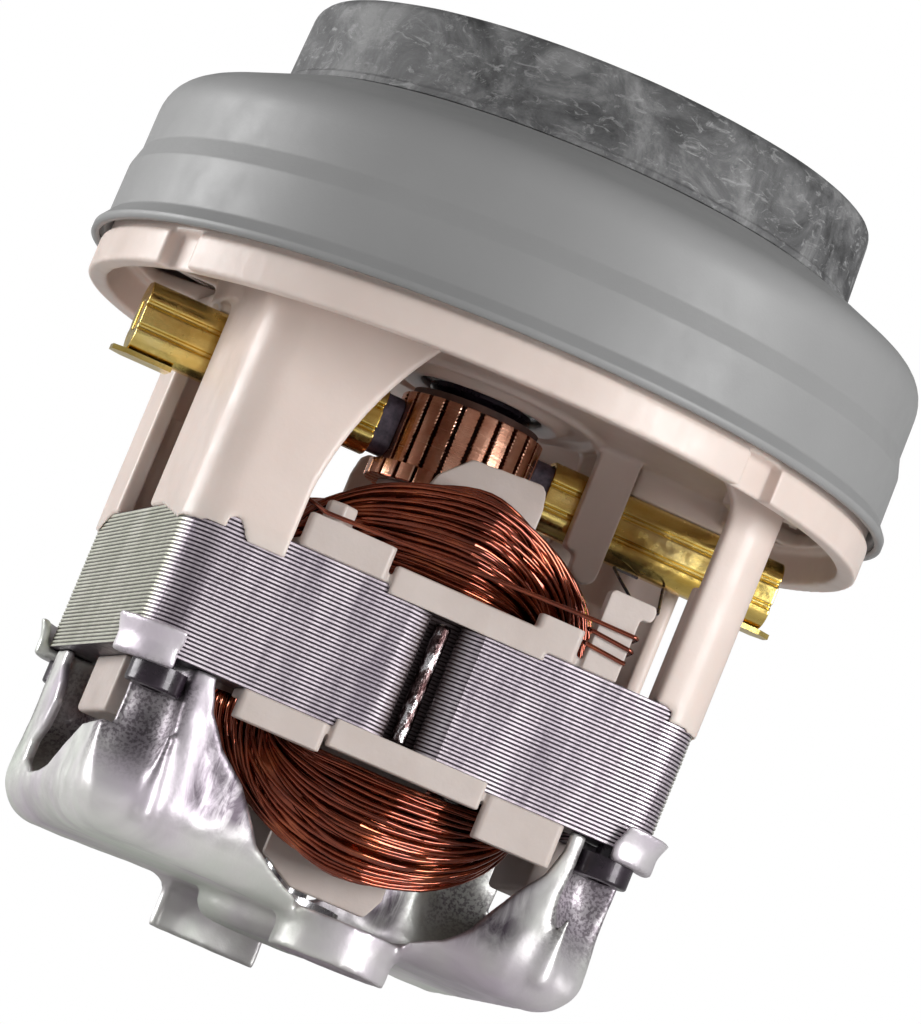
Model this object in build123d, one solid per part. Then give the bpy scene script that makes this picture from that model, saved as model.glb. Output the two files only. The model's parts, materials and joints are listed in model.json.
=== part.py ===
from build123d import *
import os
from math import atan2, cos, degrees, hypot, pi, radians, sin, sqrt

# Vacuum cleaner motor unit: a universal motor hung under a radial fan in its pressed cover.
# Millimetres, +Z up along the motor shaft, fan and inlet seal on top.
# The origin is on the shaft axis, level with the lower edge of the bracket's stiffening wall.

# Shared clearances
overrun = 4.0
fit_gap = 0.05
seat_gap = 0.1
free_gap = 0.3
small_round = 0.4

# Lamination stack of the stator
stack_width = 83.8
stack_depth = 75.2
stack_height = 22.2
stack_corner = 6.0
stack_bottom = 34.3
screw_inset_x = 5.6
screw_inset_y = 3.9
screw_radius = 2.0
yoke_wall = 8.0
pole_half_width = 11.5
shoe_thickness = 3.0
shoe_half_angle = 60.0
air_gap = 0.5
armature_radius = 20.6
groove_width = 7.8
groove_depth = 4.2
groove_lip = 1.9
groove_mouth = 3.4
stack_pin_radius = 1.25
stack_pin_round = 0.75

# Bearing bracket, pressed from one sheet
sheet = 1.7
base_rise = 7.7
cup_rise = 3.6
bracket_set_in = 0.3
bracket_corner = 9.0
bracket_bend = 6.8
tongue_half_width = 10.5
arm_width = 14.2
channel_radius = 5.1
channel_rise = 7.4
channel_flare = 24.0
lip_height = 4.0
lip_thickness = 1.6
lip_flare = 1.3
lip_half_angle = 48.0
cup_bend = 3.0
collar_radius = 9.2
collar_wall = 1.5
collar_x = 6.2
collar_y = -19.6
collar_drop = 4.8
edge_round = 5.0
front_edge_shares = [
    (-0.673, 1.3), (-0.654, 0.86), (-0.289, 0.22), (-0.067, 0.10), (-0.058, -0.4),
    (0.346, -0.4), (0.356, 0.10), (0.529, 0.28), (0.673, 0.80), (0.683, 1.3),
]
side_edge_shares = [
    (-0.70, 1.3), (-0.70, 0.62), (-0.35, 0.54), (0.10, 0.26), (0.32, 0.26), (0.70, 0.58), (0.70, 1.3),
]
arc_wall_radius = 24.0
arc_wall_angle = 47.0
arc_wall_bearing = 100.0

# Ball bearings, each race's wall a share of its section
upper_bearing_radius = 11.0
upper_bearing_bore = 4.0
upper_bearing_width = 7.0
lower_bearing_radius = 9.5
lower_bearing_bore = 3.5
lower_bearing_width = 6.0
race_share = 0.26
ball_share = 0.21
ball_count = 7
shield_thickness = 0.6
shield_recess = 0.3

# Screws that clamp bracket, stack and legs
head_radius = 4.3
head_height = 3.5
hex_socket_radius = 2.1
hex_socket_depth = 1.8
screw_reach = 16.0

# Moulded housing
leg_length = 36.7
leg_wall = 2.5
leg_lap = 0.5
lap_height = 2.8
floor_thickness = 2.4
floor_skin = 0.8
rim_margin = 6.0
rim_wall = 2.2
skirt_drop = 5.6
skirt_step = 0.9
rim_rise = 11.0
hub_wall = 3.4
hub_drop = 1.6
hub_ring_radius = 19.5
hub_ring_width = 1.4
hub_ring_drop = 1.0
bearing_lip = 1.2
bearing_lip_height = 0.9
wide_leg_front = 26.3
wide_leg_top = 14.7
wide_leg_side = 6.0
narrow_leg_front = 33.2
narrow_leg_side = 20.0
leg_root_round = 5.0
wide_tab_start = 32.6
wide_notch = 34.5
side_lap_high = 14.9
side_lap_low = 30.8
wide_leg_bow_height = 8.0
vent_inner_radius = 44.0
vent_rim_gap = 2.1
vent_half_angle = 33.0
vent_rib = 2.2
vent_count = 3
recess_depth = 1.4
recess_half_angle = 3.2
recess_bearing_a = 206.0
recess_bearing_b = 299.0

# Brushes and their holders
brush_height_above_floor = -10.2
brush_width = 5.6
brush_tall = 9.4
brush_length = 17.0
brush_gap = 0.12
tube_wall = 0.7
tube_round = 2.9
tube_start = 14.2
tube_end = 54.0
tube_groove = 0.45
brush_spring_wire = 0.5
brush_spring_curls = 9
strap_width = 4.6
strap_thickness = 2.6
strap_offset = 23.6
strap_drop = 21.0
strap_round_share = 0.45
short_strap_offset = 20.3
short_strap_width = 2.2
short_strap_drop = 17.0
saddle_start = 27.0
saddle_end = 43.0
saddle_wall = 3.0
terminal_width = 4.8
terminal_length = 7.5
terminal_reach = 2.0
terminal_thickness = 0.8
clip_wire = 0.5
clip_bend = 0.9
clip_route = [
    (33.0, -1.0, -5.8), (28.0, -4.5, -6.2), (28.5, -8.5, -8.0), (33.5, -9.5, -12.0),
    (36.5, -7.5, -10.5), (37.5, -1.0, -5.8),
]

# Commutator
commutator_radius = 11.5
commutator_top_gap = 4.0
commutator_length = 14.0
riser_height = 2.6
riser_radius = 12.6
bar_depth = 4.0
bar_slot = 0.55
bar_count = 24
hub_flange = 1.2
slinger_radius = 8.2
slinger_thickness = 1.4

# Armature
slot_count = 12
slot_radius = 2.4
slot_depth = 5.2
slot_mouth = 1.6
winding_overhang = 12.5
winding_radius = 18.2
winding_shoulder = 4.5
winding_groove = 0.9

# Field coils
coil_wire = 1.2
coil_turns = 9
coil_turn_shares = [0, 0, 0.25, 0.5, 0.5, 0.75]
coil_fan_start = 218.0
coil_fan_end = -22.0
coil_layer_gap = 0.35
coil_core_inset = 0.8
coil_slot_x = 20.4
coil_slot_y = 24.6
coil_slot_half_x = 4.1
coil_slot_half_y = 2.6
coil_top_y = 30.2
coil_top_rise = 22.0
coil_bottom_drop = 22.6
coil_top_half_y = 4.0
coil_top_half_z = 6.6
coil_slot_rise = 1.2
liner_wall = 0.35
liner_slack = 0.2
liner_round = 2.2
liner_proud = 0.8

# Moulded end frames of the coils, with front outlines as shares of half the stack's width
frame_plate = 1.4
frame_proud = 0.8
frame_hook = 1.3
band_depth = 2.2
block_depth = 2.6
block_height = 5.2
band_height = 3.0
post_height = 2.9
post_radius = 2.5
post_x = -20.9
hook_height = 12.7
hook_arm = 2.6
hook_neck_low_x = 20.6
hook_neck_high_x = 26.3
hook_reach_x = 28.1
flange_back = 21.9
flange_thickness = 1.4
frame_round = 0.8
left_block_shares = (-0.601, -0.272)
band_shares = (-0.250, 0.356)
right_block_shares = (0.289, 0.462)
lower_left_shares = (-0.587, -0.260)
lower_band_shares = (-0.245, 0.339)
lower_right_shares = (0.356, 0.654)
lower_height_shares = (0.85, 1.3)
upper_flange_height = 24.6
lower_flange_height = 23.0
upper_flange_shares = [
    (-0.231, 0), (-0.231, 0.45), (-0.164, 0.80), (-0.067, 0.97), (0.202, 1), (0.226, 0.96),
    (0.24, 0.84), (0.24, 0),
]
lower_flange_shares = [
    (-0.231, 0), (-0.231, 0.86), (-0.096, 1), (0.192, 1), (0.231, 0.86), (0.231, 0),
]
guide_width = 5.4
guide_length = 22.0
guide_drop = 9.0
guide_x = 35.0
lead_wire = 0.7
lead_rise = 6.0
lead_turns = 2
lead_pitch = 2.1
lead_bend = 0.75

# Fan cover, inlet seal and fan
cover_wall = 1.2
cover_fit_gap = 0.15
cover_lip_rise = 0.5
cover_lip_flare = 1.5
cover_lip_height = 1.1
cover_lip_neck = 1.9
cover_skirt_height = 11.0
cover_taper = 0.1
cover_step_in = 1.0
cover_step_height = 3.1
cover_shoulder_height = 10.8
cover_shoulder_round = 5.5
cover_top_in = 16.6
cover_top_rise = 6.8
eye_radius = 22.0
eye_roll = 2.6
eye_depth = 3.6
seal_top_in = 1.0
seal_wall = 8.5
seal_height = 13.9
seal_round = 3.0
seal_inner_lip = 2.2
diffuser_rim_gap = 2.6
diffuser_plate = 1.6
diffuser_height = 9.4
diffuser_vane = 1.3
diffuser_vane_inner = 27.0
diffuser_vane_count = 12
diffuser_bore = 9.4
diffuser_screw_count = 3
diffuser_screw_circle = 22.5
small_screw_radius = 1.4
small_head_radius = 2.7
small_head_height = 1.4
small_head_rim = 0.2
vane_sweep = 38.0
fan_rim_gap = 3.1
fan_sheet = 0.9
fan_lift = 1.3
fan_outer_height = 6.6
fan_eye_radius = 20.0
fan_eye_height = 12.4
blade_count = 9
blade_inner_radius = 19.0
blade_sweep = 62.0
blade_thickness = 0.9
blade_bend_share = 0.42
fan_sag_share = 0.3
washer_radius = 8.5
washer_thickness = 1.5
nut_across = 13.0
nut_height = 5.0
shaft_top_rise = 10.5

# Heights worked out from the sizes above
stack_top = stack_bottom + stack_height
stack_middle = stack_bottom + stack_height / 2
rim_radius = hypot(stack_width, stack_depth) / 2 + rim_margin
rim_inner_radius = rim_radius - rim_wall
vent_outer_radius = rim_inner_radius - vent_rim_gap
diffuser_radius = rim_inner_radius - diffuser_rim_gap
fan_radius = rim_inner_radius - fan_rim_gap
floor_bottom = stack_top + leg_length
floor_top = floor_bottom + floor_thickness
rim_bottom = floor_bottom - skirt_drop
rim_top = floor_bottom + rim_rise
upper_bearing_bottom = floor_bottom
upper_bearing_top = upper_bearing_bottom + upper_bearing_width
lower_bearing_bottom = cup_rise + sheet + fit_gap
lower_bearing_top = lower_bearing_bottom + lower_bearing_width
cup_bore = lower_bearing_radius + fit_gap
tongue_reach = collar_radius - collar_y
brush_z = floor_bottom + brush_height_above_floor
commutator_top = floor_bottom - commutator_top_gap
commutator_bottom = commutator_top - commutator_length
diffuser_top = floor_top + diffuser_height
fan_bottom = diffuser_top + fan_lift
cover_bottom = floor_bottom + cover_lip_rise
cover_skirt_radius = rim_radius + cover_fit_gap + cover_wall
cover_lip_radius = cover_skirt_radius + cover_lip_flare
cover_upper_radius = cover_skirt_radius - cover_step_in
cover_top_radius = cover_skirt_radius - cover_top_in
seal_inner_radius = cover_top_radius - seal_wall
cover_step = cover_bottom + cover_skirt_height
cover_step_top = cover_step + cover_step_height
cover_shoulder = cover_step_top + cover_shoulder_height
cover_top = cover_shoulder + cover_top_rise
bore_radius = armature_radius + air_gap
screw_x = stack_width / 2 - screw_inset_x
screw_y = stack_depth / 2 - screw_inset_y
corner_signs = [(-1, -1), (1, -1), (-1, 1), (1, 1)]


def outline(points, radii=0):
    """Closed flat face through points, each corner rounded by its own radius."""
    if isinstance(radii, (int, float)):
        radii = [radii] * len(points)
    return make_face(FilletPolyline(*points, radius=radii, close=True))


def turned(points, radii=0):
    """Solid of revolution about the shaft axis from (radius, height) points."""
    return revolve(Plane.XZ * outline(points, radii), axis=Axis.Z)


def along_x(points, x_low, x_high, radii=0):
    """Prism along X from (y, z) points."""
    plane = Plane(origin=(x_low, 0, 0), x_dir=(0, 1, 0), z_dir=(1, 0, 0))
    return extrude(plane * outline(points, radii), amount=x_high - x_low)


def along_y(points, y_low, y_high, radii=0):
    """Prism along Y from (x, z) points."""
    plane = Plane(origin=(0, y_high, 0), x_dir=(1, 0, 0), z_dir=(0, -1, 0))
    return extrude(plane * outline(points, radii), amount=y_high - y_low)


def along_z(face, z_low, z_high):
    """Prism along Z from a flat face or from (x, y) points."""
    if isinstance(face, list):
        face = outline(face)
    return extrude(Pos(0, 0, z_low) * face, amount=z_high - z_low)


def tube(outer, inner, z_low, z_high):
    """Plain ring about the shaft axis."""
    return along_z(Circle(outer) - Circle(inner), z_low, z_high)


def box(x_low, x_high, y_low, y_high, z_low, z_high):
    """Rectangular block between six planes."""
    points = [(x_low, y_low), (x_high, y_low), (x_high, y_high), (x_low, y_high)]
    return along_z(points, z_low, z_high)


def polar(radius, angle):
    """Point at a radius and an angle in degrees."""
    return (radius * cos(radians(angle)), radius * sin(radians(angle)))


def sector(inner, outer, middle, half_angle):
    """Flat ring sector about the origin."""
    a = polar(outer, middle - half_angle)
    b = polar(outer, middle)
    c = polar(outer, middle + half_angle)
    d = polar(inner, middle + half_angle)
    e = polar(inner, middle)
    f = polar(inner, middle - half_angle)
    edges = [ThreePointArc(a, b, c), Line(c, d), ThreePointArc(d, e, f), Line(f, a)]
    return make_face(edges)


def around(shape, count):
    """The same shape repeated about the shaft axis."""
    return [Rot(0, 0, step * 360 / count) * shape for step in range(count)]


def both_sides(shape):
    """The shape and its copy turned half round the shaft axis."""
    return shape + Rot(0, 0, 180) * shape


def biarc(start, heading, end, end_heading):
    """Two arcs, tangent to each other and to a heading at each end."""
    chord = end - start
    spread = 2 - 2 * heading.dot(end_heading)
    along = chord.dot(heading + end_heading)
    reach = (-along + sqrt(along * along + spread * chord.dot(chord))) / spread
    before = start + heading * reach
    after = end - end_heading * reach
    middle = (before + after) / 2
    turn = (after - before).normalized()
    return [TangentArc(start, middle, tangent=heading), TangentArc(middle, end, tangent=turn)]


def round_wire(edges, radius, sides=0):
    """Wire of a radius swept along joined edges, with flats where sides are given."""
    path = Wire(edges)
    section = RegularPolygon(radius, sides) if sides else Circle(radius)
    return sweep(Plane(origin=path @ 0, z_dir=path % 0) * section, path=path)


def save(name, shape):
    """Writes one node's solids."""
    solids = list(shape.solids())
    whole = solids[0] if len(solids) == 1 else Compound(children=solids)
    whole.label = name
    export_step(whole, "parts/" + name + ".step")
    print(name, len(solids), "solids", round(whole.volume), "mm3")


# Stator
def stack_outline(margin=0):
    """Rounded outline of the lamination, grown by a margin."""
    return RectangleRounded(stack_width + 2 * margin, stack_depth + 2 * margin, stack_corner + margin)


def pole_outline():
    """One wound pole: a neck from the yoke and a shoe round the armature."""
    neck_end = stack_depth / 2 - yoke_wall / 2
    neck = Polygon(
        (-pole_half_width, -neck_end),
        (pole_half_width, -neck_end),
        (pole_half_width, -bore_radius),
        (-pole_half_width, -bore_radius),
        align=None,
    )
    shoe = sector(bore_radius, bore_radius + shoe_thickness, -90, shoe_half_angle)
    return neck + shoe


def front_groove():
    """Cut for the weld groove in the middle of the front face, with rounded lips."""
    face_y = -stack_depth / 2
    depth_y = face_y + groove_depth
    half = groove_width / 2
    mouth = groove_mouth / 2
    points = [
        (-half - groove_lip, face_y - overrun),
        (half + groove_lip, face_y - overrun),
        (half + groove_lip, face_y),
        (mouth, face_y + groove_lip),
        (half, depth_y),
        (-half, depth_y),
        (-mouth, face_y + groove_lip),
        (-half - groove_lip, face_y),
    ]
    return outline(points, [0, 0, 0, groove_lip / 2, small_round, small_round, groove_lip / 2, 0])


def stator_stack():
    """Laminated iron with two poles, the armature bore, weld grooves and screw holes."""
    window = RectangleRounded(
        stack_width - 2 * yoke_wall, stack_depth - 2 * yoke_wall, stack_corner
    )
    poles = pole_outline()
    poles = poles + Rot(0, 0, 180) * poles
    iron = stack_outline() - window + poles
    iron = iron - Circle(bore_radius)
    groove = front_groove()
    iron = iron - groove - Rot(0, 0, 180) * groove
    for sign_x, sign_y in corner_signs:
        iron = iron - Pos(sign_x * screw_x, sign_y * screw_y) * Circle(screw_radius + seat_gap)
    return along_z(iron, stack_bottom, stack_top)


def stack_pins():
    """Bright pins that stand in the two weld grooves."""
    pin_y = -stack_depth / 2 + groove_depth - stack_pin_radius - fit_gap
    pin_low = stack_bottom + groove_lip
    pin_high = stack_top - groove_lip
    pin = along_z(Pos(0, pin_y) * Circle(stack_pin_radius), pin_low, pin_high)
    pin = fillet(pin.edges().group_by(Axis.Z)[-1], stack_pin_round)
    return both_sides(pin)


# Bearing bracket
def bracket_outline(inset=0):
    """Plan of the pressed bracket: four corner lobes and a tongue between each pair."""
    half_x = stack_width / 2 - bracket_set_in
    half_y = stack_depth / 2 - bracket_set_in
    left = collar_x - tongue_half_width
    right = collar_x + tongue_half_width
    front = [
        (-half_x, -half_y),
        (-half_x + arm_width, -half_y),
        (left, -tongue_reach),
        (right, -tongue_reach),
        (half_x - arm_width, -half_y),
        (half_x, -half_y),
    ]
    points = front + [(-x, -y) for x, y in front]
    rounds = [bracket_corner] + [bracket_corner / 2] * 4 + [bracket_corner]
    face = outline(points, rounds + rounds)
    if inset:
        face = offset(face, amount=-inset, kind=Kind.INTERSECTION)
    return face


def channel(margin, z_low, z_high):
    """The four screwdriver channels, open to the outside, grown by a margin."""
    cutters = []
    radius = channel_radius + margin
    reach = screw_inset_x + stack_corner
    for sign_x, sign_y in corner_signs:
        center = Vector(sign_x * screw_x, sign_y * screw_y)
        angle = degrees(atan2(sign_y, sign_x))
        spread = radius / cos(radians(channel_flare))
        slope = reach * sin(radians(channel_flare))
        mouth = outline(
            [(0, -spread), (reach * 2, -spread - slope), (reach * 2, spread + slope), (0, spread)]
        )
        slot = Circle(radius) + mouth
        cutters.append(along_z(Pos(*center) * Rot(0, 0, angle) * slot, z_low, z_high))
    return cutters


def corner_lips():
    """Upturned lips that hug the stack corners and flare outwards, each with its seat."""
    lips = []
    corner_x = stack_width / 2 - stack_corner
    corner_y = stack_depth / 2 - stack_corner
    inner = stack_corner + seat_gap
    outer = inner + lip_thickness
    top = stack_bottom + lip_height
    section = outline(
        [
            (stack_corner / 2, stack_bottom - sheet),
            (outer, stack_bottom - sheet),
            (outer + lip_flare, top),
            (inner + lip_flare, top),
            (inner, stack_bottom),
            (stack_corner / 2, stack_bottom),
        ]
    )
    lip = revolve(Plane.XZ * section, axis=Axis.Z, revolution_arc=2 * lip_half_angle)
    for sign_x, sign_y in corner_signs:
        angle = degrees(atan2(sign_y, sign_x)) - lip_half_angle
        lips.append(Pos(sign_x * corner_x, sign_y * corner_y) * Rot(0, 0, angle) * lip)
    return lips


def window_points(shares, half_span, base, rise):
    """Outline points from shares of a half width and of the height above a base."""
    return [(x_share * half_span, base + z_share * rise) for x_share, z_share in shares]


def bracket_windows():
    """Cuts that shape the upper edges of the bracket between its arms."""
    rise = stack_bottom - base_rise
    half_y = stack_depth / 2 - bracket_set_in
    half_x = stack_width / 2 - bracket_set_in
    front = window_points(front_edge_shares, stack_width / 2, base_rise, rise)
    low_round = edge_round / 2
    rounds = [0, edge_round, edge_round, 0, 0, 0, 0, low_round, edge_round, 0]
    front_cut = along_y(front, -half_y - overrun, -bore_radius, rounds)
    side = window_points(side_edge_shares, stack_depth / 2, base_rise, rise)
    rounds = [0, low_round, low_round, edge_round, edge_round, low_round, 0]
    side_cut = along_x(side, -half_x - overrun, -bore_radius, rounds)
    return both_sides(front_cut), both_sides(side_cut)


def bottom_bracket():
    """Pressed sheet bracket with corner seats, screwdriver channels, bearing cup and collar."""
    base_top = base_rise + sheet
    outside = along_z(bracket_outline(), base_rise, stack_bottom)
    outside = fillet(outside.edges().group_by(Axis.Z)[0], bracket_bend)
    inside = along_z(bracket_outline(sheet), base_top, stack_bottom + overrun)
    inside = fillet(inside.edges().group_by(Axis.Z)[0], bracket_bend - sheet)
    channel_low = base_rise + channel_rise
    for cut in channel(0, channel_low, stack_bottom - sheet):
        outside = outside - cut
    for post in channel(sheet, channel_low - sheet, stack_bottom + overrun):
        inside = inside - post
    shell = outside - inside
    for cut in bracket_windows():
        shell = shell - cut
    for lip in corner_lips():
        shell = shell + lip
    cup_radius = cup_bore + sheet
    cup = turned(
        [(0, cup_rise), (cup_radius, cup_rise), (cup_radius, base_top), (0, base_top)],
        [0, cup_bend, 0, 0],
    )
    shell = shell + cup
    collar = Pos(collar_x, collar_y) * tube(
        collar_radius, collar_radius - collar_wall, base_rise - collar_drop, base_top
    )
    arc_face = sector(
        arc_wall_radius - sheet, arc_wall_radius, arc_wall_bearing, arc_wall_angle / 2
    )
    arc_wall = along_z(arc_face, 0, base_top)
    shell = shell + collar + arc_wall
    shell = shell - along_z(Circle(cup_bore), cup_rise + sheet, base_top + overrun)
    collar_bore = Pos(collar_x, collar_y) * Circle(collar_radius - collar_wall)
    shell = shell - along_z(collar_bore, -overrun, base_top + overrun)
    for sign_x, sign_y in corner_signs:
        hole = Pos(sign_x * screw_x, sign_y * screw_y) * Circle(screw_radius + seat_gap)
        shell = shell - along_z(hole, stack_bottom - sheet - overrun, stack_bottom + overrun)
    return shell


def bracket_screws():
    """Four socket screws that clamp the bracket to the stack and the legs."""
    head_top = stack_bottom - sheet
    head = Pos(0, 0, head_top - head_height / 2) * Cylinder(head_radius, head_height)
    head = fillet(head.edges().group_by(Axis.Z)[0], small_round)
    shank = along_z(Circle(screw_radius), head_top, stack_top + screw_reach)
    socket = RegularPolygon(hex_socket_radius, 6)
    head_low = head_top - head_height
    screw = head + shank - along_z(socket, head_low, head_low + hex_socket_depth)
    return Compound(
        children=[Pos(sx * screw_x, sy * screw_y) * screw for sx, sy in corner_signs]
    )


# Moulded housing
def leg_front_wide():
    """Front face of the wide leg: straight beside the coil, then flared into the floor."""
    lap = stack_top - lap_height
    corner = stack_width / 2 + leg_lap + overrun
    start = stack_top + wide_leg_bow_height
    flare_x = (wide_leg_front * 2 + wide_leg_top) / 3 - leg_lap
    flare_z = (start + floor_bottom * 2) / 3 - leg_wall
    edges = [
        Line((-corner, stack_top), (-wide_notch, stack_top)),
        Line((-wide_notch, stack_top), (-wide_tab_start, lap)),
        Line((-wide_tab_start, lap), (-wide_leg_front, lap)),
        Line((-wide_leg_front, lap), (-wide_leg_front, start)),
        ThreePointArc((-wide_leg_front, start), (-flare_x, flare_z), (-wide_leg_top, floor_bottom)),
        Line((-wide_leg_top, floor_bottom), (-wide_leg_top, floor_top)),
        Line((-wide_leg_top, floor_top), (-corner, floor_top)),
        Line((-corner, floor_top), (-corner, stack_top)),
    ]
    return make_face(edges)


def leg_front_narrow():
    """Front face of the narrow leg, flared to both sides where it meets the floor."""
    corner = stack_width / 2 + leg_lap + overrun
    flare = leg_root_round
    low = stack_top - lap_height / 2
    points = [
        (narrow_leg_front, stack_top),
        (corner, low),
        (corner, floor_top),
        (narrow_leg_front - flare, floor_top),
        (narrow_leg_front - flare, floor_bottom),
        (narrow_leg_front, floor_bottom - flare),
    ]
    return outline(points, [0, 0, 0, 0, 0, flare])


def leg_side(edge_y, lap_low_y, lap_high_y):
    """Side face of a leg on the front half, from its edge to the stack corner."""
    corner = -stack_depth / 2 - leg_lap - overrun
    flare = leg_root_round
    lap = stack_top - lap_height
    points = [
        (-edge_y, stack_top),
        (-edge_y, floor_bottom - flare),
        (-edge_y + flare, floor_bottom),
        (-edge_y + flare, floor_top),
        (corner, floor_top),
        (corner, lap + lap_height / 3),
        (-lap_low_y, lap),
        (-lap_high_y, stack_top),
    ]
    return outline(points, [0, flare, 0, 0, 0, 0, 0, 0])


def legs():
    """Four corner legs that follow the stack outline, alike in diagonal pairs."""
    far_x = stack_width / 2 + leg_lap + overrun
    far_y = stack_depth / 2 + leg_lap + overrun
    wall_outer = stack_outline(leg_lap)
    wall_inner = stack_outline(leg_lap - leg_wall)
    wall = along_z(wall_outer - wall_inner, stack_top - lap_height, floor_bottom + fit_gap)
    front_plane = Plane(origin=(0, 0, 0), x_dir=(1, 0, 0), z_dir=(0, -1, 0))
    side_plane = Plane(origin=(0, 0, 0), x_dir=(0, 1, 0), z_dir=(1, 0, 0))
    near_y = stack_depth / 2 - stack_corner
    near_x = stack_width / 2 - stack_corner
    fronts = [leg_front_wide(), leg_front_narrow()]
    sides = [
        leg_side(wide_leg_side, side_lap_low, side_lap_high),
        leg_side(narrow_leg_side, side_lap_low, narrow_leg_side + overrun),
    ]
    keep_fronts = [
        extrude(front_plane.offset(near_y) * face, amount=far_y - near_y) for face in fronts
    ]
    keep_sides = [
        extrude(side_plane.offset(-far_x) * sides[0], amount=far_x - near_x),
        extrude(side_plane.offset(near_x) * sides[1], amount=far_x - near_x),
    ]
    half = [wall & keep for keep in keep_fronts + keep_sides]
    pieces = half[0]
    for piece in half[1:]:
        pieces = pieces + piece
    pieces = both_sides(pieces)
    return pieces - along_z(stack_outline(fit_gap), stack_top - lap_height - overrun, stack_top)


def floor_plate():
    """Floor of the fan chamber with its rim, skirt, vents and bearing hub."""
    hub_bore = upper_bearing_radius + fit_gap
    hub_outer = hub_bore + hub_wall
    plate = tube(rim_radius, hub_bore, floor_bottom, floor_top)
    rim = tube(rim_radius, rim_inner_radius, rim_bottom, rim_top)
    hub = turned(
        [
            (hub_bore - bearing_lip, floor_bottom - bearing_lip_height),
            (hub_outer - hub_drop, floor_bottom - hub_drop),
            (hub_outer, floor_bottom),
            (hub_outer, upper_bearing_top),
            (hub_bore, upper_bearing_top),
            (hub_bore, floor_bottom - fit_gap),
            (hub_bore - bearing_lip, floor_bottom - fit_gap),
        ]
    )
    ring = tube(
        hub_ring_radius,
        hub_ring_radius - hub_ring_width,
        floor_bottom - hub_ring_drop,
        floor_bottom + fit_gap,
    )
    skirt = tube(rim_radius + skirt_step, rim_inner_radius, rim_bottom, floor_bottom)
    body = plate + rim + skirt + hub + ring
    vent = sector(vent_inner_radius, vent_outer_radius, 0, vent_half_angle)
    cell = 2 * vent_half_angle / vent_count
    for index in range(1, vent_count):
        angle = index * cell - vent_half_angle
        rib = Rot(0, 0, angle) * Pos(vent_outer_radius / 2, 0) * Rectangle(
            vent_outer_radius * 2, vent_rib
        )
        vent = vent - rib
    openings = along_z(vent, floor_bottom - overrun, floor_top + overrun)
    body = body - both_sides(openings)
    wall = sector(
        vent_inner_radius - vent_rib, vent_inner_radius, 0, vent_half_angle
    )
    body = body + both_sides(along_z(wall, rim_bottom + vent_rib, floor_bottom + fit_gap))
    screw_hole = Pos(diffuser_screw_circle, 0) * Circle(small_screw_radius + fit_gap)
    screw_hole = along_z(screw_hole, floor_bottom + floor_skin, floor_top + overrun)
    for cut in around(screw_hole, diffuser_screw_count):
        body = body - cut
    for bearing in (recess_bearing_a, recess_bearing_b):
        cut = sector(
            rim_radius - recess_depth, rim_radius + overrun, bearing, recess_half_angle
        )
        pocket = along_z(cut, rim_bottom - overrun, floor_bottom)
        body = body - both_sides(pocket)
    return body


def holder_supports():
    """Straps and a saddle wall that hang from the floor and hold the right brush tube."""
    half_tube = brush_width / 2 + brush_gap + tube_wall
    outer = half_tube + free_gap / 3
    tube_high = brush_z + brush_tall / 2 + brush_gap + tube_wall + fit_gap
    top = floor_bottom + fit_gap
    pieces = []
    for offset_x, width, drop in (
        (strap_offset, strap_width, strap_drop),
        (short_strap_offset, short_strap_width, short_strap_drop),
    ):
        for sign in (-1, 1):
            near = sign * outer
            far = sign * (outer + strap_thickness)
            low, high = min(near, far), max(near, far)
            end = floor_bottom - drop
            strap = along_y(
                [
                    (offset_x - width / 2, top),
                    (offset_x + width / 2, top),
                    (offset_x + width / 2, end),
                    (offset_x - width / 2, end),
                ],
                low,
                high,
                [0, 0, width * strap_round_share, width * strap_round_share],
            )
            pieces.append(strap)
    saddle = box(saddle_start, saddle_end, -saddle_wall / 2, saddle_wall / 2, tube_high, top)
    return pieces + [saddle]


def motor_housing():
    """White moulding that joins fan chamber, upper bearing, brush supports and stack."""
    body = floor_plate() + legs()
    for piece in holder_supports():
        body = body + piece + Rot(0, 0, 180) * piece
    for sign_x, sign_y in corner_signs:
        boss = Pos(sign_x * screw_x, sign_y * screw_y) * Circle(screw_radius + leg_wall / 2)
        hole = Pos(sign_x * screw_x, sign_y * screw_y) * Circle(screw_radius + fit_gap)
        body = body + along_z(boss, stack_top, stack_top + screw_reach + leg_wall)
        body = body - along_z(hole, stack_top - overrun, stack_top + screw_reach + fit_gap)
    return body


# Ball bearings
def bearing_parts(radius, bore, width, bottom):
    """Outer ring, inner ring, shields and balls of one deep-groove bearing."""
    section = radius - bore
    inner_race = bore + section * race_share
    outer_race = radius - section * race_share
    top = bottom + width
    outer = tube(radius, outer_race, bottom, top)
    inner = tube(inner_race, bore, bottom, top)
    low = bottom + shield_recess
    high = top - shield_recess
    shield_outer = outer_race - fit_gap / 2
    shield_inner = inner_race + free_gap / 2
    shields = tube(shield_outer, shield_inner, low, low + shield_thickness)
    shields = shields + tube(shield_outer, shield_inner, high - shield_thickness, high)
    ball_radius = section * ball_share
    pitch_radius = (inner_race + outer_race) / 2
    ball = Pos(pitch_radius, 0, bottom + width / 2) * Sphere(ball_radius)
    return outer, inner, shields, Compound(children=around(ball, ball_count))


def upper_bearing():
    """Larger bearing, in the hub under the fan."""
    return bearing_parts(
        upper_bearing_radius, upper_bearing_bore, upper_bearing_width, upper_bearing_bottom
    )


def lower_bearing():
    """Smaller bearing, in the bracket's cup."""
    return bearing_parts(
        lower_bearing_radius, lower_bearing_bore, lower_bearing_width, lower_bearing_bottom
    )


# Brush gear, drawn on the right and turned round for the left
def tube_section(grow):
    """Rounded section of the brush, grown to the bore or the outside of its tube."""
    width = brush_width + 2 * grow
    tall = brush_tall + 2 * grow
    return RectangleRounded(width, tall, tube_round - tube_wall - brush_gap + grow)


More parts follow.
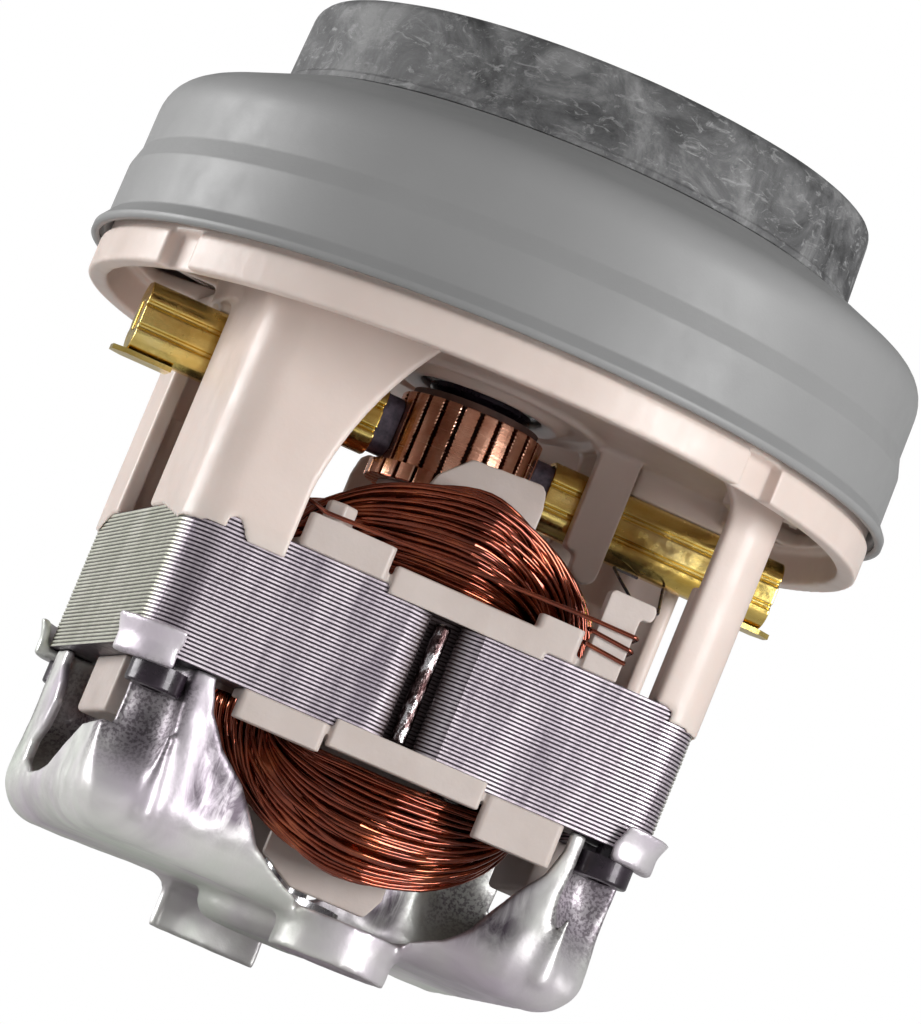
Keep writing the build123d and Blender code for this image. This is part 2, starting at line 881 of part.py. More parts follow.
def bar_along_x(section, x_low, x_high):
    """Prism of a (y, z) section centred on the brush axis."""
    plane = Plane(origin=(x_low, 0, brush_z), x_dir=(0, 1, 0), z_dir=(1, 0, 0))
    return extrude(plane * section, amount=x_high - x_low)


def brush_holder():
    """Brass tube with rolled grooves along its flanks and a slotted end."""
    outside = tube_section(brush_gap + tube_wall)
    side = brush_width / 2 + brush_gap + tube_wall
    for sign_y in (-1, 1):
        for sign_z in (-1, 1):
            groove = Pos(sign_y * side, sign_z * brush_tall / 5) * Circle(tube_groove)
            outside = outside - groove
    body = bar_along_x(outside, tube_start, tube_end)
    body = body - bar_along_x(tube_section(brush_gap), tube_start - overrun, tube_end - tube_wall)
    slot = Rectangle(brush_width / 3, brush_tall / 2)
    return body - bar_along_x(slot, tube_end - tube_wall - overrun, tube_end + overrun)


def brush_terminal():
    """Flat brass tab that lies under the end of the brush tube, with a cropped tip."""
    top = brush_z - brush_tall / 2 - brush_gap - tube_wall - fit_gap
    half = terminal_width / 2
    tip = tube_end + terminal_reach
    face = Polygon(
        (tube_end - terminal_length, -half),
        (tube_end, -half),
        (tip, -half / 2),
        (tip, half / 2),
        (tube_end, half),
        (tube_end - terminal_length, half),
        align=None,
    )
    return along_z(face, top - terminal_thickness, top)


def contact_clip():
    """Bent wire clip that bears on the underside of the brush tube."""
    points = [(x, y, brush_z + z) for x, y, z in clip_route]
    path = FilletPolyline(*points, radius=clip_bend)
    section = Plane(origin=path @ 0, z_dir=path % 0) * Circle(clip_wire / 2)
    return sweep(section, path=path)


def carbon_brush():
    """Carbon block with a face curved to the commutator."""
    face = commutator_radius + brush_gap / 2
    block = bar_along_x(tube_section(0), 0, face + brush_length)
    return block - along_z(Circle(face), brush_z - brush_tall, brush_z + brush_tall)


def brush_spring():
    """Coil spring between the brush and the end of its tube."""
    low = commutator_radius + brush_gap / 2 + brush_length + fit_gap
    high = tube_end - tube_wall - fit_gap
    radius = brush_width / 2 - brush_spring_wire
    start = low + brush_spring_wire / 2
    rise = (high - low - brush_spring_wire) / brush_spring_curls
    points = []
    for step in range(2 * brush_spring_curls + 1):
        side = 1 if step % 2 == 0 else -1
        points.append(Vector(start + step * rise / 2, 0, brush_z + side * radius))
    slope = atan2(rise / 2, pi * radius)
    edges = []
    for index, (here, there) in enumerate(zip(points, points[1:])):
        sign = 1 if index % 2 == 0 else -1
        heading = Vector(sin(slope), sign * cos(slope), 0)
        next_heading = Vector(sin(slope), -sign * cos(slope), 0)
        edges += biarc(here, heading, there, next_heading)
    return round_wire(edges, brush_spring_wire / 2)


# Field coils, drawn on the front and turned round for the rear
def coil_stations():
    """Section centres round the pole: place, heading, outward direction and half sizes."""
    right = Vector(1, 0, 0)
    up = Vector(0, 0, 1)
    slot_high = stack_top + coil_slot_rise
    slot_low = stack_bottom - coil_slot_rise
    top = stack_middle + coil_top_rise
    bottom = stack_middle - coil_bottom_drop
    slot = (coil_slot_half_x, coil_slot_half_y)
    apex = (coil_top_half_z, coil_top_half_y)
    x = coil_slot_x
    y = -coil_slot_y
    return [
        (Vector(x, y, slot_low), up, right, slot),
        (Vector(x, y, slot_high), up, right, slot),
        (Vector(0, -coil_top_y, top), -right, up, apex),
        (Vector(-x, y, slot_high), -up, -right, slot),
        (Vector(-x, y, slot_low), -up, -right, slot),
        (Vector(0, -coil_top_y, bottom), right, -up, apex),
    ]


def coil_point(station, angle, grow):
    """Point on a station's oval, grown outwards, at an angle from its back."""
    place, heading, outward, halves = station
    out = (halves[0] + grow) * sin(radians(angle))
    back = (halves[1] + grow) * cos(radians(angle))
    return place + outward * out + Vector(0, back, 0)


def coil_layer():
    """Outer layer of one field coil, a single wire that fans round the bundle."""
    stations = coil_stations()
    grow = coil_layer_gap + coil_wire / 2
    step = (coil_fan_end - coil_fan_start) / coil_turns
    edges = []
    nodes = []
    for turn in range(coil_turns):
        for station, share in zip(stations, coil_turn_shares):
            angle = coil_fan_start + step * (turn + share)
            nodes.append((coil_point(station, angle, grow), station[1]))
    nodes.append((coil_point(stations[0], coil_fan_end, grow), stations[0][1]))
    nodes.append((coil_point(stations[1], coil_fan_end, grow), stations[1][1]))
    for (here, heading), (there, next_heading) in zip(nodes, nodes[1:]):
        if heading == next_heading:
            edges.append(Line(here, there))
        else:
            edges += biarc(here, heading, there, next_heading)
    print("field coil layer, least gap to itself", wire_gap(edges, coil_wire, coil_turns))
    return round_wire(edges, coil_wire / 2, 6)


def wire_gap(edges, wire, turns):
    """Least distance between neighbouring turns, less the wire, measured on points."""
    per_turn = len(edges) // turns
    least = None
    samples = [[edge @ (step / 6) for step in range(7)] for edge in edges]
    for index, row in enumerate(samples):
        others = samples[index + per_turn // 2 :]
        for point in row:
            for other in others:
                for mate in other:
                    gap = (point - mate).length - wire
                    if least is None or gap < least:
                        least = gap
    return round(least, 2)


def coil_core():
    """Plain bundle inside the outer layer, a loft through ovals round the pole."""
    stations = []
    for place, heading, outward, halves in coil_stations():
        halves = tuple(half - coil_core_inset for half in halves)
        stations.append((place, heading, outward, halves))
    body = None
    for index in range(len(stations)):
        here = stations[index]
        there = stations[(index + 1) % len(stations)]
        if here[1] == there[1]:
            faces = [oval_section(*here), oval_section(*there)]
            part = loft(faces, ruled=True)
        else:
            arcs = biarc(here[0], here[1], there[0], there[1])
            middle = arcs[0] @ 1
            heading = arcs[0] % 1
            outward = (here[2] + there[2]).normalized()
            halves = tuple((a + b) / 2 for a, b in zip(here[3], there[3]))
            between = oval_section(middle, heading, outward, halves)
            part = loft([oval_section(*here), between, oval_section(*there)])
        body = part if body is None else body + part
    return body


def oval_section(place, heading, outward, halves):
    """Oval face across the bundle at one station."""
    across = Vector(0, 1, 0) - heading * heading.Y
    plane = Plane(origin=place, x_dir=across, z_dir=heading)
    return plane * Ellipse(halves[1], halves[0])


def slot_liners():
    """Dark paper liners of the four stator slots."""
    width = 2 * (coil_slot_half_x + coil_layer_gap + coil_wire) + liner_slack
    deep = 2 * (coil_slot_half_y + coil_layer_gap + coil_wire) + liner_slack
    outer = RectangleRounded(width + 2 * liner_wall, deep + 2 * liner_wall, liner_round)
    inner = RectangleRounded(width, deep, liner_round - liner_wall)
    ring = outer - inner
    liners = []
    for sign in (-1, 1):
        face = Pos(sign * coil_slot_x, -coil_slot_y) * ring
        liners.append(along_z(face, stack_bottom - liner_proud, stack_top + liner_proud))
    return both_sides(liners[0] + liners[1])


# Moulded end frames
def frame_body(block_shares, band_share, heights, level, sign, plate_end):
    """Plate on the pole, front blocks and hooked band, above or below the stack."""
    half = stack_width / 2
    face = -stack_depth / 2
    front = face - frame_proud
    plate = Polygon(
        (block_shares[0][0] * half, face),
        (plate_end, face),
        (plate_end, face + yoke_wall - frame_plate),
        (pole_half_width, face + yoke_wall - frame_plate),
        (pole_half_width, -flange_back),
        (-pole_half_width, -flange_back),
        (-pole_half_width, face + yoke_wall - frame_plate),
        (block_shares[0][0] * half, face + yoke_wall - frame_plate),
        align=None,
    )
    body = extrude(Pos(0, 0, level) * plate, amount=sign * frame_plate)
    for shares, height in zip(block_shares, heights):
        low_x, high_x = shares[0] * half, shares[1] * half
        rise = sorted((level, level + sign * height))
        block = box(low_x, high_x, front, front + block_depth, *rise)
        block = fillet(block.edges().filter_by(Axis.Z), frame_round)
        body = body + block
    rise = sorted((level - sign * frame_hook, level + sign * band_height))
    band = box(band_share[0] * half, band_share[1] * half, front, front + band_depth, *rise)
    band = fillet(band.edges().filter_by(Axis.Z), frame_round / 2)
    return body + band


def frame_flange(shares, height, level, sign):
    """Upright flange between a coil and the armature."""
    half = stack_width / 2
    points = [(x * half, level + sign * z * height) for x, z in shares]
    rounds = [0] + [frame_round] * (len(points) - 2) + [0]
    return along_y(points, -flange_back - flange_thickness, -flange_back, rounds)


def upper_end_frame():
    """End frame over the stack, with the winding post and the hook that take the lead."""
    heights = [block_height, block_height]
    blocks = [left_block_shares, right_block_shares]
    body = frame_body(blocks, band_shares, heights, stack_top, 1, hook_neck_high_x)
    body = body + frame_flange(upper_flange_shares, upper_flange_height, stack_top, 1)
    front = -stack_depth / 2 - frame_proud
    post_level = stack_top + block_height
    post = RegularPolygon(post_radius, 6, rotation=30)
    post_y = front + post_radius
    post = along_z(Pos(post_x, post_y) * post, stack_top + frame_plate, post_level + post_height)
    post = fillet(post.edges().group_by(Axis.Z)[-1], frame_round / 2)
    top = stack_top + hook_height
    neck_top = top - hook_arm
    points = [
        (hook_neck_low_x, stack_top),
        (hook_neck_high_x, stack_top),
        (hook_neck_high_x, neck_top),
        (hook_reach_x, neck_top),
        (hook_reach_x, top),
        (hook_neck_low_x, top),
    ]
    hook = along_y(points, front, front + block_depth, [0, 0, 0, frame_round, frame_round, frame_round])
    body = body + post + hook - along_z(stack_outline(fit_gap), stack_bottom, stack_top)
    return body


def lower_end_frame():
    """End frame under the stack, without post or hook."""
    heights = [block_height * share for share in lower_height_shares]
    blocks = [lower_left_shares, lower_right_shares]
    plate_end = lower_right_shares[1] * stack_width / 2
    body = frame_body(blocks, lower_band_shares, heights, stack_bottom, -1, plate_end)
    body = body + frame_flange(lower_flange_shares, lower_flange_height, stack_bottom, -1)
    return body - along_z(stack_outline(fit_gap), stack_bottom, stack_top)


def lead_guides():
    """Nylon blocks under the sides of the stack that guide the leads."""
    guide = box(
        -guide_x - guide_width / 2,
        -guide_x + guide_width / 2,
        -guide_length / 2,
        guide_length / 2,
        stack_bottom - guide_drop,
        stack_bottom,
    )
    guide = fillet(guide.edges().group_by(Axis.Z)[0], frame_round)
    return both_sides(guide)


def field_lead():
    """Lead wire from the coil, past the post and twice round the hook."""
    gap = lead_wire / 2 + seat_gap + fit_gap
    front = -stack_depth / 2 - frame_proud - gap
    back = front + block_depth + 2 * gap
    low_x = hook_neck_low_x - gap
    high_x = hook_neck_high_x + gap
    level = stack_top + block_height + gap
    start = Vector(post_x - 2 * post_radius, front + 2 * post_radius, level + post_height / 2)
    points = [
        start,
        Vector(post_x - post_radius, front, level),
        Vector(0, front + gap, level + lead_rise / 6),
    ]
    height = level + lead_rise / 4
    points.append(Vector(low_x, front, height))
    quarter = lead_pitch / 4
    for turn in range(lead_turns):
        fall = turn * lead_pitch
        points.append(Vector(high_x, front, height - fall))
        points.append(Vector(high_x, back, height - fall - quarter))
        points.append(Vector(low_x, back, height - fall - 2 * quarter))
        points.append(Vector(low_x, front, height - fall - 3 * quarter))
    points.append(Vector(high_x - gap, front, height - lead_turns * lead_pitch))
    path = FilletPolyline(*points, radius=lead_bend)
    section = Plane(origin=path @ 0, z_dir=path % 0) * Circle(lead_wire / 2)
    return sweep(section, path=path)


# Rotor
def rotor_shaft():
    """Ground shaft, thinner in the lower bearing."""
    step = lower_bearing_top + fit_gap
    low = lower_bearing_bottom + fit_gap
    top = fan_bottom + shaft_top_rise
    return turned(
        [
            (0, low),
            (lower_bearing_bore, low),
            (lower_bearing_bore, step),
            (upper_bearing_bore, step),
            (upper_bearing_bore, top - small_round),
            (upper_bearing_bore - small_round, top),
            (0, top),
        ]
    )


def armature_core():
    """Slotted armature laminations."""
    face = Circle(armature_radius) - Circle(upper_bearing_bore)
    center = armature_radius - slot_depth
    slot = Pos(center, 0) * Circle(slot_radius)
    mouth = Pos(center + slot_depth / 2, 0) * Rectangle(slot_depth + overrun, slot_mouth)
    for cut in around(slot + mouth, slot_count):
        face = face - cut
    return along_z(face, stack_bottom, stack_top)


def armature_winding():
    """Wound bundles in the slots, lobed heads at both ends and a neck up to the commutator."""
    center = armature_radius - slot_depth
    inner = upper_bearing_bore + winding_groove
    near = stack_top + fit_gap
    high = stack_top + winding_overhang
    neck_top = commutator_bottom - hub_flange - fit_gap
    upper = [
        (inner, near),
        (winding_radius, near),
        (winding_radius, high),
        (commutator_radius + winding_groove, high),
        (commutator_radius - winding_groove, neck_top),
        (inner, neck_top),
    ]
    body = turned(upper, [0, 0, winding_shoulder, small_round, 0, 0])
    near = stack_bottom - fit_gap
    low = stack_bottom - winding_overhang
    lower = [
        (inner, near),
        (winding_radius, near),
        (winding_radius, low),
        (inner + winding_shoulder, low),
    ]
    body = body + turned(lower, [0, 0, winding_shoulder, winding_shoulder / 2])
    groove = Pos(winding_radius + winding_groove, 0) * Circle(winding_groove * 2)
    grooves = along_z(groove, low - overrun, high + overrun)
    for cut in around(Rot(0, 0, 180 / slot_count) * grooves, slot_count):
        body = body - cut
    bundle = Pos(center, 0) * Circle(slot_radius - fit_gap)
    bundle = along_z(bundle, stack_bottom - small_round, stack_top + small_round)
    for bar in around(bundle, slot_count):
        body = body + bar
    return body


def commutator_bars():
    """Copper segments of the commutator, each with a riser at its lower end."""
    cell = 2 * pi * commutator_radius / bar_count
    inner = commutator_radius - bar_depth
    bar = Pos((inner + commutator_radius) / 2, 0) * Rectangle(bar_depth, cell - bar_slot)
    bar = bar & Circle(commutator_radius)
    solid = along_z(bar, commutator_bottom, commutator_top)
    riser = Pos((inner + riser_radius) / 2, 0) * Rectangle(riser_radius - inner, cell - bar_slot)
    riser = riser & Circle(riser_radius)
    solid = solid + along_z(riser, commutator_bottom, commutator_bottom + riser_height)
    return Compound(children=around(solid, bar_count))


def commutator_hub():
    """Moulded core between the bars and the shaft, with a flange at each end."""
    inner = commutator_radius - bar_depth
    flange_radius = commutator_radius - bar_depth / 3
    shaft = upper_bearing_bore
    return turned(
        [
            (shaft, commutator_bottom - hub_flange),
            (flange_radius, commutator_bottom - hub_flange),
            (flange_radius, commutator_bottom - fit_gap),
            (inner - fit_gap, commutator_bottom - fit_gap),
            (inner - fit_gap, commutator_top + fit_gap),
            (flange_radius, commutator_top + fit_gap),
            (flange_radius, commutator_top + hub_flange),
            (shaft, commutator_top + hub_flange),
        ]
    )


def rotor_spacers():
    """Slinger washer under the upper bearing and the spacer sleeve over it."""
    slinger_top = upper_bearing_bottom
    slinger_low = commutator_top + hub_flange
    inner_race = upper_bearing_bore + (upper_bearing_radius - upper_bearing_bore) * race_share
    disc_top = slinger_top - fit_gap
    slinger = turned(
        [
            (upper_bearing_bore, slinger_low),
            (inner_race, slinger_low),
            (slinger_radius, disc_top - slinger_thickness),
            (slinger_radius, disc_top - slinger_thickness / 2),
            (inner_race, slinger_top),
            (upper_bearing_bore, slinger_top),
        ]
    )
    spacer = tube(inner_race, upper_bearing_bore, upper_bearing_top, fan_bottom)
    return slinger, spacer


# Fan
def impeller_back_disc():
    """Flat back disc of the fan."""
    return tube(fan_radius, upper_bearing_bore, fan_bottom, fan_bottom + fan_sheet)


def disc_curve(lift, rim):
    """Arc of the front disc's profile from its rim to its eye, lifted by its sheet."""
    base = fan_bottom + fan_sheet + lift
    middle = (fan_radius + fan_eye_radius) / 2
    sag = base + fan_outer_height + fan_sag_share * (fan_eye_height - fan_outer_height)
    start = (rim, base + fan_outer_height)
    return ThreePointArc(start, (middle, sag), (fan_eye_radius, base + fan_eye_height))


def impeller_front_disc():
    """Curved front disc of the fan, rising to its eye."""
    low = disc_curve(0, fan_radius)
    high = disc_curve(fan_sheet, fan_radius)
    edges = [low, Line(low @ 1, high @ 1), high, Line(high @ 0, low @ 0)]
    return revolve(Plane.XZ * make_face(edges), axis=Axis.Z)


def impeller_blades():
    """Backward-curved sheet blades between the two discs."""
    middle = (blade_inner_radius + fan_radius) / 2
    start = polar(blade_inner_radius, 0)
    bend = polar(middle, -blade_sweep * blade_bend_share)
    end = polar(fan_radius - fan_sheet, -blade_sweep)
    curve = ThreePointArc(start, bend, end)
    face = trace(curve, blade_thickness)
    base = fan_bottom + fan_sheet
    blade = along_z(face, base, base + fan_eye_height)
    top = disc_curve(0, fan_radius)
    edges = [
        top,
        Line(top @ 1, (0, base + fan_eye_height)),
        Line((0, base + fan_eye_height), (0, base)),
        Line((0, base), (fan_radius, base)),
        Line((fan_radius, base), top @ 0),
    ]
    space = revolve(Plane.XZ * make_face(edges), axis=Axis.Z)
    return Compound(children=around(blade & space, blade_count))


def fan_nut_and_washer():
    """Washer and hexagonal nut that clamp the fan on the shaft."""
    low = fan_bottom + fan_sheet
    washer = tube(washer_radius, upper_bearing_bore, low, low + washer_thickness)
    face = RegularPolygon(nut_across / 2, 6, major_radius=False) - Circle(upper_bearing_bore)
    nut_low = low + washer_thickness
    nut = along_z(face, nut_low, nut_low + nut_height)
    crown = turned(
        [
            (0, nut_low),
            (nut_across / 2 + small_round, nut_low),
            (nut_across / 2 + small_round, nut_low + nut_height - small_round * 2),
            (nut_across / 2 - small_round, nut_low + nut_height),
            (0, nut_low + nut_height),
        ]
    )
    return washer, nut & crown


# Fan cover, seal and diffuser
def sheet_profile(points, rounds, wall):
    """Closed (radius, height) outline of a sheet from its outer line, thickened inwards."""
    headings = []
    for here, there in zip(points, points[1:]):
        span = hypot(there[0] - here[0], there[1] - here[1])
        headings.append(((there[0] - here[0]) / span, (there[1] - here[1]) / span))
    before = [headings[0]] + headings
    after = headings + [headings[-1]]
    inner = []
    inner_rounds = []
    for point, corner, last, following in zip(points, rounds, before, after):
        bend = last[0] * following[1] - last[1] * following[0]
        spread = 1 + last[0] * following[0] + last[1] * following[1]
        normal = (-(last[1] + following[1]) / spread, (last[0] + following[0]) / spread)
        inner.append((point[0] + wall * normal[0], point[1] + wall * normal[1]))
        grown = corner - wall if bend > 0 else corner + wall
        inner_rounds.append(max(grown, 0) if corner else 0)
    return outline(points + inner[::-1], rounds + inner_rounds[::-1])


def fan_cover():
    """Pressed steel cover over the fan, open at its eye."""
    neck = cover_bottom + cover_lip_height
    points = [
        (cover_lip_radius, cover_bottom),
        (cover_lip_radius, neck),
        (cover_skirt_radius, neck + cover_lip_neck),
        (cover_skirt_radius - cover_taper, cover_step),
        (cover_upper_radius, cover_step_top),
        (cover_upper_radius - cover_taper, cover_shoulder),
        (cover_top_radius, cover_top),
        (eye_radius, cover_top),
        (eye_radius, cover_top - eye_depth),
    ]
    lip = small_round
    step = cover_step_in
    rounds = [0, lip, lip, step, step, cover_shoulder_round, cover_shoulder_round, eye_roll, 0]
    return revolve(Plane.XZ * sheet_profile(points, rounds, cover_wall), axis=Axis.Z)


def inlet_seal():
    """Thick rubber ring that seals the inlet to the cleaner."""
    top = cover_top + seal_height
    points = [
        (seal_inner_radius, cover_top),
        (cover_top_radius, cover_top),
        (cover_top_radius - seal_top_in, top),
        (seal_inner_radius + seal_inner_lip, top),
        (seal_inner_radius, top - seal_inner_lip),
    ]
    return turned(points, [0, 0, seal_round, small_round, small_round])


def diffuser():
    """Guide plate under the fan with curved vanes and three screw posts."""
    plate_low = diffuser_top - diffuser_plate
    plate = tube(diffuser_radius, diffuser_bore, plate_low, diffuser_top)
    hub = tube(upper_bearing_radius + hub_wall, diffuser_bore, upper_bearing_top + fit_gap, plate_low)
    body = plate + hub
    middle = (diffuser_vane_inner + diffuser_radius) / 2
    start = polar(diffuser_vane_inner, 0)
    bend = polar(middle, vane_sweep * blade_bend_share)
    end = polar(diffuser_radius - diffuser_vane, vane_sweep)
    vane = trace(ThreePointArc(start, bend, end), diffuser_vane)
    vane = along_z(vane, floor_top + fit_gap, plate_low + fit_gap)
    for piece in around(vane, diffuser_vane_count):
        body = body + piece
    post = along_z(Pos(diffuser_screw_circle, 0) * Circle(post_radius), floor_top + fit_gap, plate_low)
    hole = Pos(diffuser_screw_circle, 0) * Circle(small_screw_radius + fit_gap)
    hole = along_z(hole, floor_top - overrun, diffuser_top + overrun)
    sink = diffuser_screw_head(fit_gap)
    for step in range(diffuser_screw_count):
        turn = Rot(0, 0, step * 360 / diffuser_screw_count)
        body = body + turn * post - turn * hole - turn * sink
    return body


def diffuser_screw_head(grow):
    """Countersunk head of a diffuser screw, grown for its seat."""
    low = diffuser_top - small_head_height
    points = [
        (0, low),
        (small_screw_radius + grow, low),
        (small_head_radius + grow, diffuser_top - small_head_rim),
        (small_head_radius + grow, diffuser_top),
        (0, diffuser_top),
    ]
    return Pos(diffuser_screw_circle, 0) * turned(points)


def diffuser_screws():
    """Three countersunk screws that hold the diffuser down on the floor."""
    low = floor_bottom + floor_skin + fit_gap
    shank_top = diffuser_top - small_head_height
    shank = along_z(Pos(diffuser_screw_circle, 0) * Circle(small_screw_radius), low, shank_top)
    cross = Pos(diffuser_screw_circle, 0) * Rectangle(small_head_radius, small_round * 2)
    screw = diffuser_screw_head(0) + shank
    screw = screw - along_z(cross, diffuser_top - small_head_height / 2, diffuser_top + overrun)
    return Compound(children=around(screw, diffuser_screw_count))


def save_pair(left_name, right_name, shape):
    """Writes a piece and its copy turned half round the shaft axis as two nodes."""
    save(left_name, shape)
    save(right_name, Rot(0, 0, 180) * shape)


# All nodes
os.makedirs("parts", exist_ok=True)
save("stator_stack", stator_stack())
save("stack_pins", stack_pins())
save("slot_liners", slot_liners())
save("bottom_bracket", bottom_bracket())
save("bracket_screws", bracket_screws())
save("motor_housing", motor_housing())
save("lead_guides", lead_guides())
save_pair("front_coil_core", "rear_coil_core", coil_core())
save_pair("front_coil_wire", "rear_coil_wire", coil_layer())
save_pair("front_upper_frame", "rear_upper_frame", upper_end_frame())
save_pair("front_lower_frame", "rear_lower_frame", lower_end_frame())
save_pair("front_lead", "rear_lead", field_lead())
save_pair("right_brush_tube", "left_brush_tube", brush_holder())
save_pair("right_brush_terminal", "left_brush_terminal", brush_terminal())
save_pair("right_brush", "left_brush", carbon_brush())
save_pair("right_brush_spring", "left_brush_spring", brush_spring())
save_pair("right_contact_clip", "left_contact_clip", contact_clip())
for place, pieces in (("upper", upper_bearing()), ("lower", lower_bearing())):
    for kind, piece in zip(("outer_ring", "inner_ring", "shields", "balls"), pieces):
        save(place + "_bearing_" + kind, piece)
save("rotor_shaft", rotor_shaft())
save("armature_core", armature_core())
save("armature_winding", armature_winding())
save("commutator_bars", commutator_bars())
save("commutator_hub", commutator_hub())
slinger, spacer = rotor_spacers()
save("slinger_washer", slinger)
save("fan_spacer", spacer)
save("impeller_back_disc", impeller_back_disc())
save("impeller_blades", impeller_blades())
save("impeller_front_disc", impeller_front_disc())
washer, nut = fan_nut_and_washer()
save("fan_washer", washer)
save("fan_nut", nut)
save("diffuser", diffuser())
save("diffuser_screws", diffuser_screws())
save("fan_cover", fan_cover())
save("inlet_seal", inlet_seal())
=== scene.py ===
# %% [markdown]
# A vacuum cleaner's motor unit, dressed over its CAD frame. The frame gives every piece its place, so this
# lesson only adds surfaces, finishes, light and a camera. Lengths are millimetres unless a line says
# otherwise, and MM turns them into Blender's metres. Blender's vector noise starts from the clock unless it
# is seeded, so its seed is set before anything else and each run gives the same shapes.

import json
import random
from math import cos, degrees, pi, radians, sin, tan

import bmesh
import bpy
import numpy as np
from mathutils import Matrix, Vector, noise

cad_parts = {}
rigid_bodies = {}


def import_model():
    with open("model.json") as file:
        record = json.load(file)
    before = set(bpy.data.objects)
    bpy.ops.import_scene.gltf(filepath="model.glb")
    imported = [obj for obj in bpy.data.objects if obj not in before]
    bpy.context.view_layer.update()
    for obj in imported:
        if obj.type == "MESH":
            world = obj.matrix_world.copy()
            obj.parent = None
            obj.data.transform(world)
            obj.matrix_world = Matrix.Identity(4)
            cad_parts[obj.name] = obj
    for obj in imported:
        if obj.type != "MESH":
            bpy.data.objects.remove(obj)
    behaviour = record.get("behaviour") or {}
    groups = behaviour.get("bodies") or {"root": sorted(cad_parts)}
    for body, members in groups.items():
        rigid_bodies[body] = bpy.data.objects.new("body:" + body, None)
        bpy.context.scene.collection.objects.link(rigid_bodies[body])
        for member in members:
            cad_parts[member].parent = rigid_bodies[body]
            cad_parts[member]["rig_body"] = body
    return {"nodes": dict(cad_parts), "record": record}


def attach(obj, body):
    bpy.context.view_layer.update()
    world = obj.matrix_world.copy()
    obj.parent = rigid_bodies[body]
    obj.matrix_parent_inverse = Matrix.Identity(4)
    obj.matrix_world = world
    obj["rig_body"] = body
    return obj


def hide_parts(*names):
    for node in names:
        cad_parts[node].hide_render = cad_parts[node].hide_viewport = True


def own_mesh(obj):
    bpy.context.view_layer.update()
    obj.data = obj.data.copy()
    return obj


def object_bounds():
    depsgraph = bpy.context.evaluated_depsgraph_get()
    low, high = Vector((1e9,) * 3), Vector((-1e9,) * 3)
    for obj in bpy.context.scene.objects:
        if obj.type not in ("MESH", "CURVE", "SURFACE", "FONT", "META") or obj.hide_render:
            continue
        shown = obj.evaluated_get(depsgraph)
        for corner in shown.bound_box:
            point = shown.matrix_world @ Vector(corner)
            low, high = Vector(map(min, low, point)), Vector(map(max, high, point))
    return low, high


noise.seed_set(7)
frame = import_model()
cad_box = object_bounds()
MM = 0.001

# %% [markdown]
# The frame also holds sizes. A node's reach along an axis is read from its mesh, so a finish or a new piece
# can follow it instead of repeating a number. The heights of the stack, of the armature's core and of the
# commutator are wanted below. Both cores are piles of punched plates, whose number was judged by their
# pitch.

# %% Sizes read from the frame
def reach_along(node, axis):
    """Lowest and highest place of a CAD node along an axis, 0 to 2 for X to Z."""
    places = [vertex.co[axis] for vertex in frame["nodes"][node].data.vertices]
    return round(min(places) / MM, 2), round(max(places) / MM, 2)


stack_low, stack_high = reach_along("stator_stack", 2)
core_low, core_high = reach_along("armature_core", 2)
bars_low, bars_high = reach_along("commutator_bars", 2)
plate_count = 36
print("stack", stack_low, stack_high, "core", core_low, core_high, "commutator", bars_low, bars_high)

# %% [markdown]
# The camera looks from the left and slightly from below, rolled so that the shaft leans to the right. Its
# place and turn were fitted to corners and rims seen in the photograph, so they are written as numbers. A
# long lens from 0.8 m keeps the perspective weak, as in the photograph, and a small shift frames the motor.

# %% Camera
camera_data = bpy.data.cameras.new("photo_camera")
camera_data.sensor_fit = "VERTICAL"
camera_data.sensor_height = 36.0
camera_data.lens = 189.52
camera_data.shift_x = -0.0120
camera_data.shift_y = 0.0054
camera_data.clip_start = 0.05
camera_data.clip_end = 20.0
camera = bpy.data.objects.new("photo_camera", camera_data)
bpy.context.scene.collection.objects.link(camera)
right = Vector((0.891537, -0.252652, 0.375938))
up = Vector((-0.397041, -0.036464, 0.917076))
back = Vector((-0.217993, -0.966870, -0.132823))
turn = Matrix((right, up, back)).transposed().to_4x4()
camera.matrix_world = Matrix.Translation(Vector((-174.11, -797.27, -33.98)) * MM) @ turn
bpy.context.scene.camera = camera
print("camera at", [round(v, 3) for v in camera.matrix_world.translation])

# %% [markdown]
# A finish is a tree of nodes, and a tree is easier to read as sums than as wires. One small class wraps a
# socket, so that a sum, a product or abs() on it adds a Math node, on either side of a plain number. A node
# just added is asked for its outputs by name or number, and each comes as such a term.

# %% Sockets in a sum
class Term:
    """A socket in an expression: sums and products on it add Math nodes."""

    def __init__(self, tree, socket):
        self.tree = tree
        self.socket = socket

    def maths(self, operation, first, second=0.0):
        return self.tree.add("ShaderNodeMath", {"operation": operation}, {0: first, 1: second}).out()

    def __add__(self, other):
        return self.maths("ADD", self, other)

    def __sub__(self, other):
        return self.maths("SUBTRACT", self, other)

    def __rsub__(self, other):
        return self.maths("SUBTRACT", other, self)

    def __mul__(self, other):
        return self.maths("MULTIPLY", self, other)

    def __truediv__(self, other):
        return self.maths("DIVIDE", self, other)

    def __rtruediv__(self, other):
        return self.maths("DIVIDE", other, self)

    def __abs__(self):
        return self.maths("ABSOLUTE", self)

    __radd__ = __add__
    __rmul__ = __mul__


class Placed:
    """A node just added, whose outputs are asked for by name or number."""

    def __init__(self, tree, node):
        self.tree = tree
        self.node = node

    def out(self, key=0):
        return Term(self.tree, self.node.outputs[key])


# %% [markdown]
# A second class holds the tree and has one method for every kind of node: settings come first, because some
# of them change which sockets a node has. A ramp, a mapped range, a mix of colours, places and noise are
# asked for often, so they have short names of their own, which go through that method too.

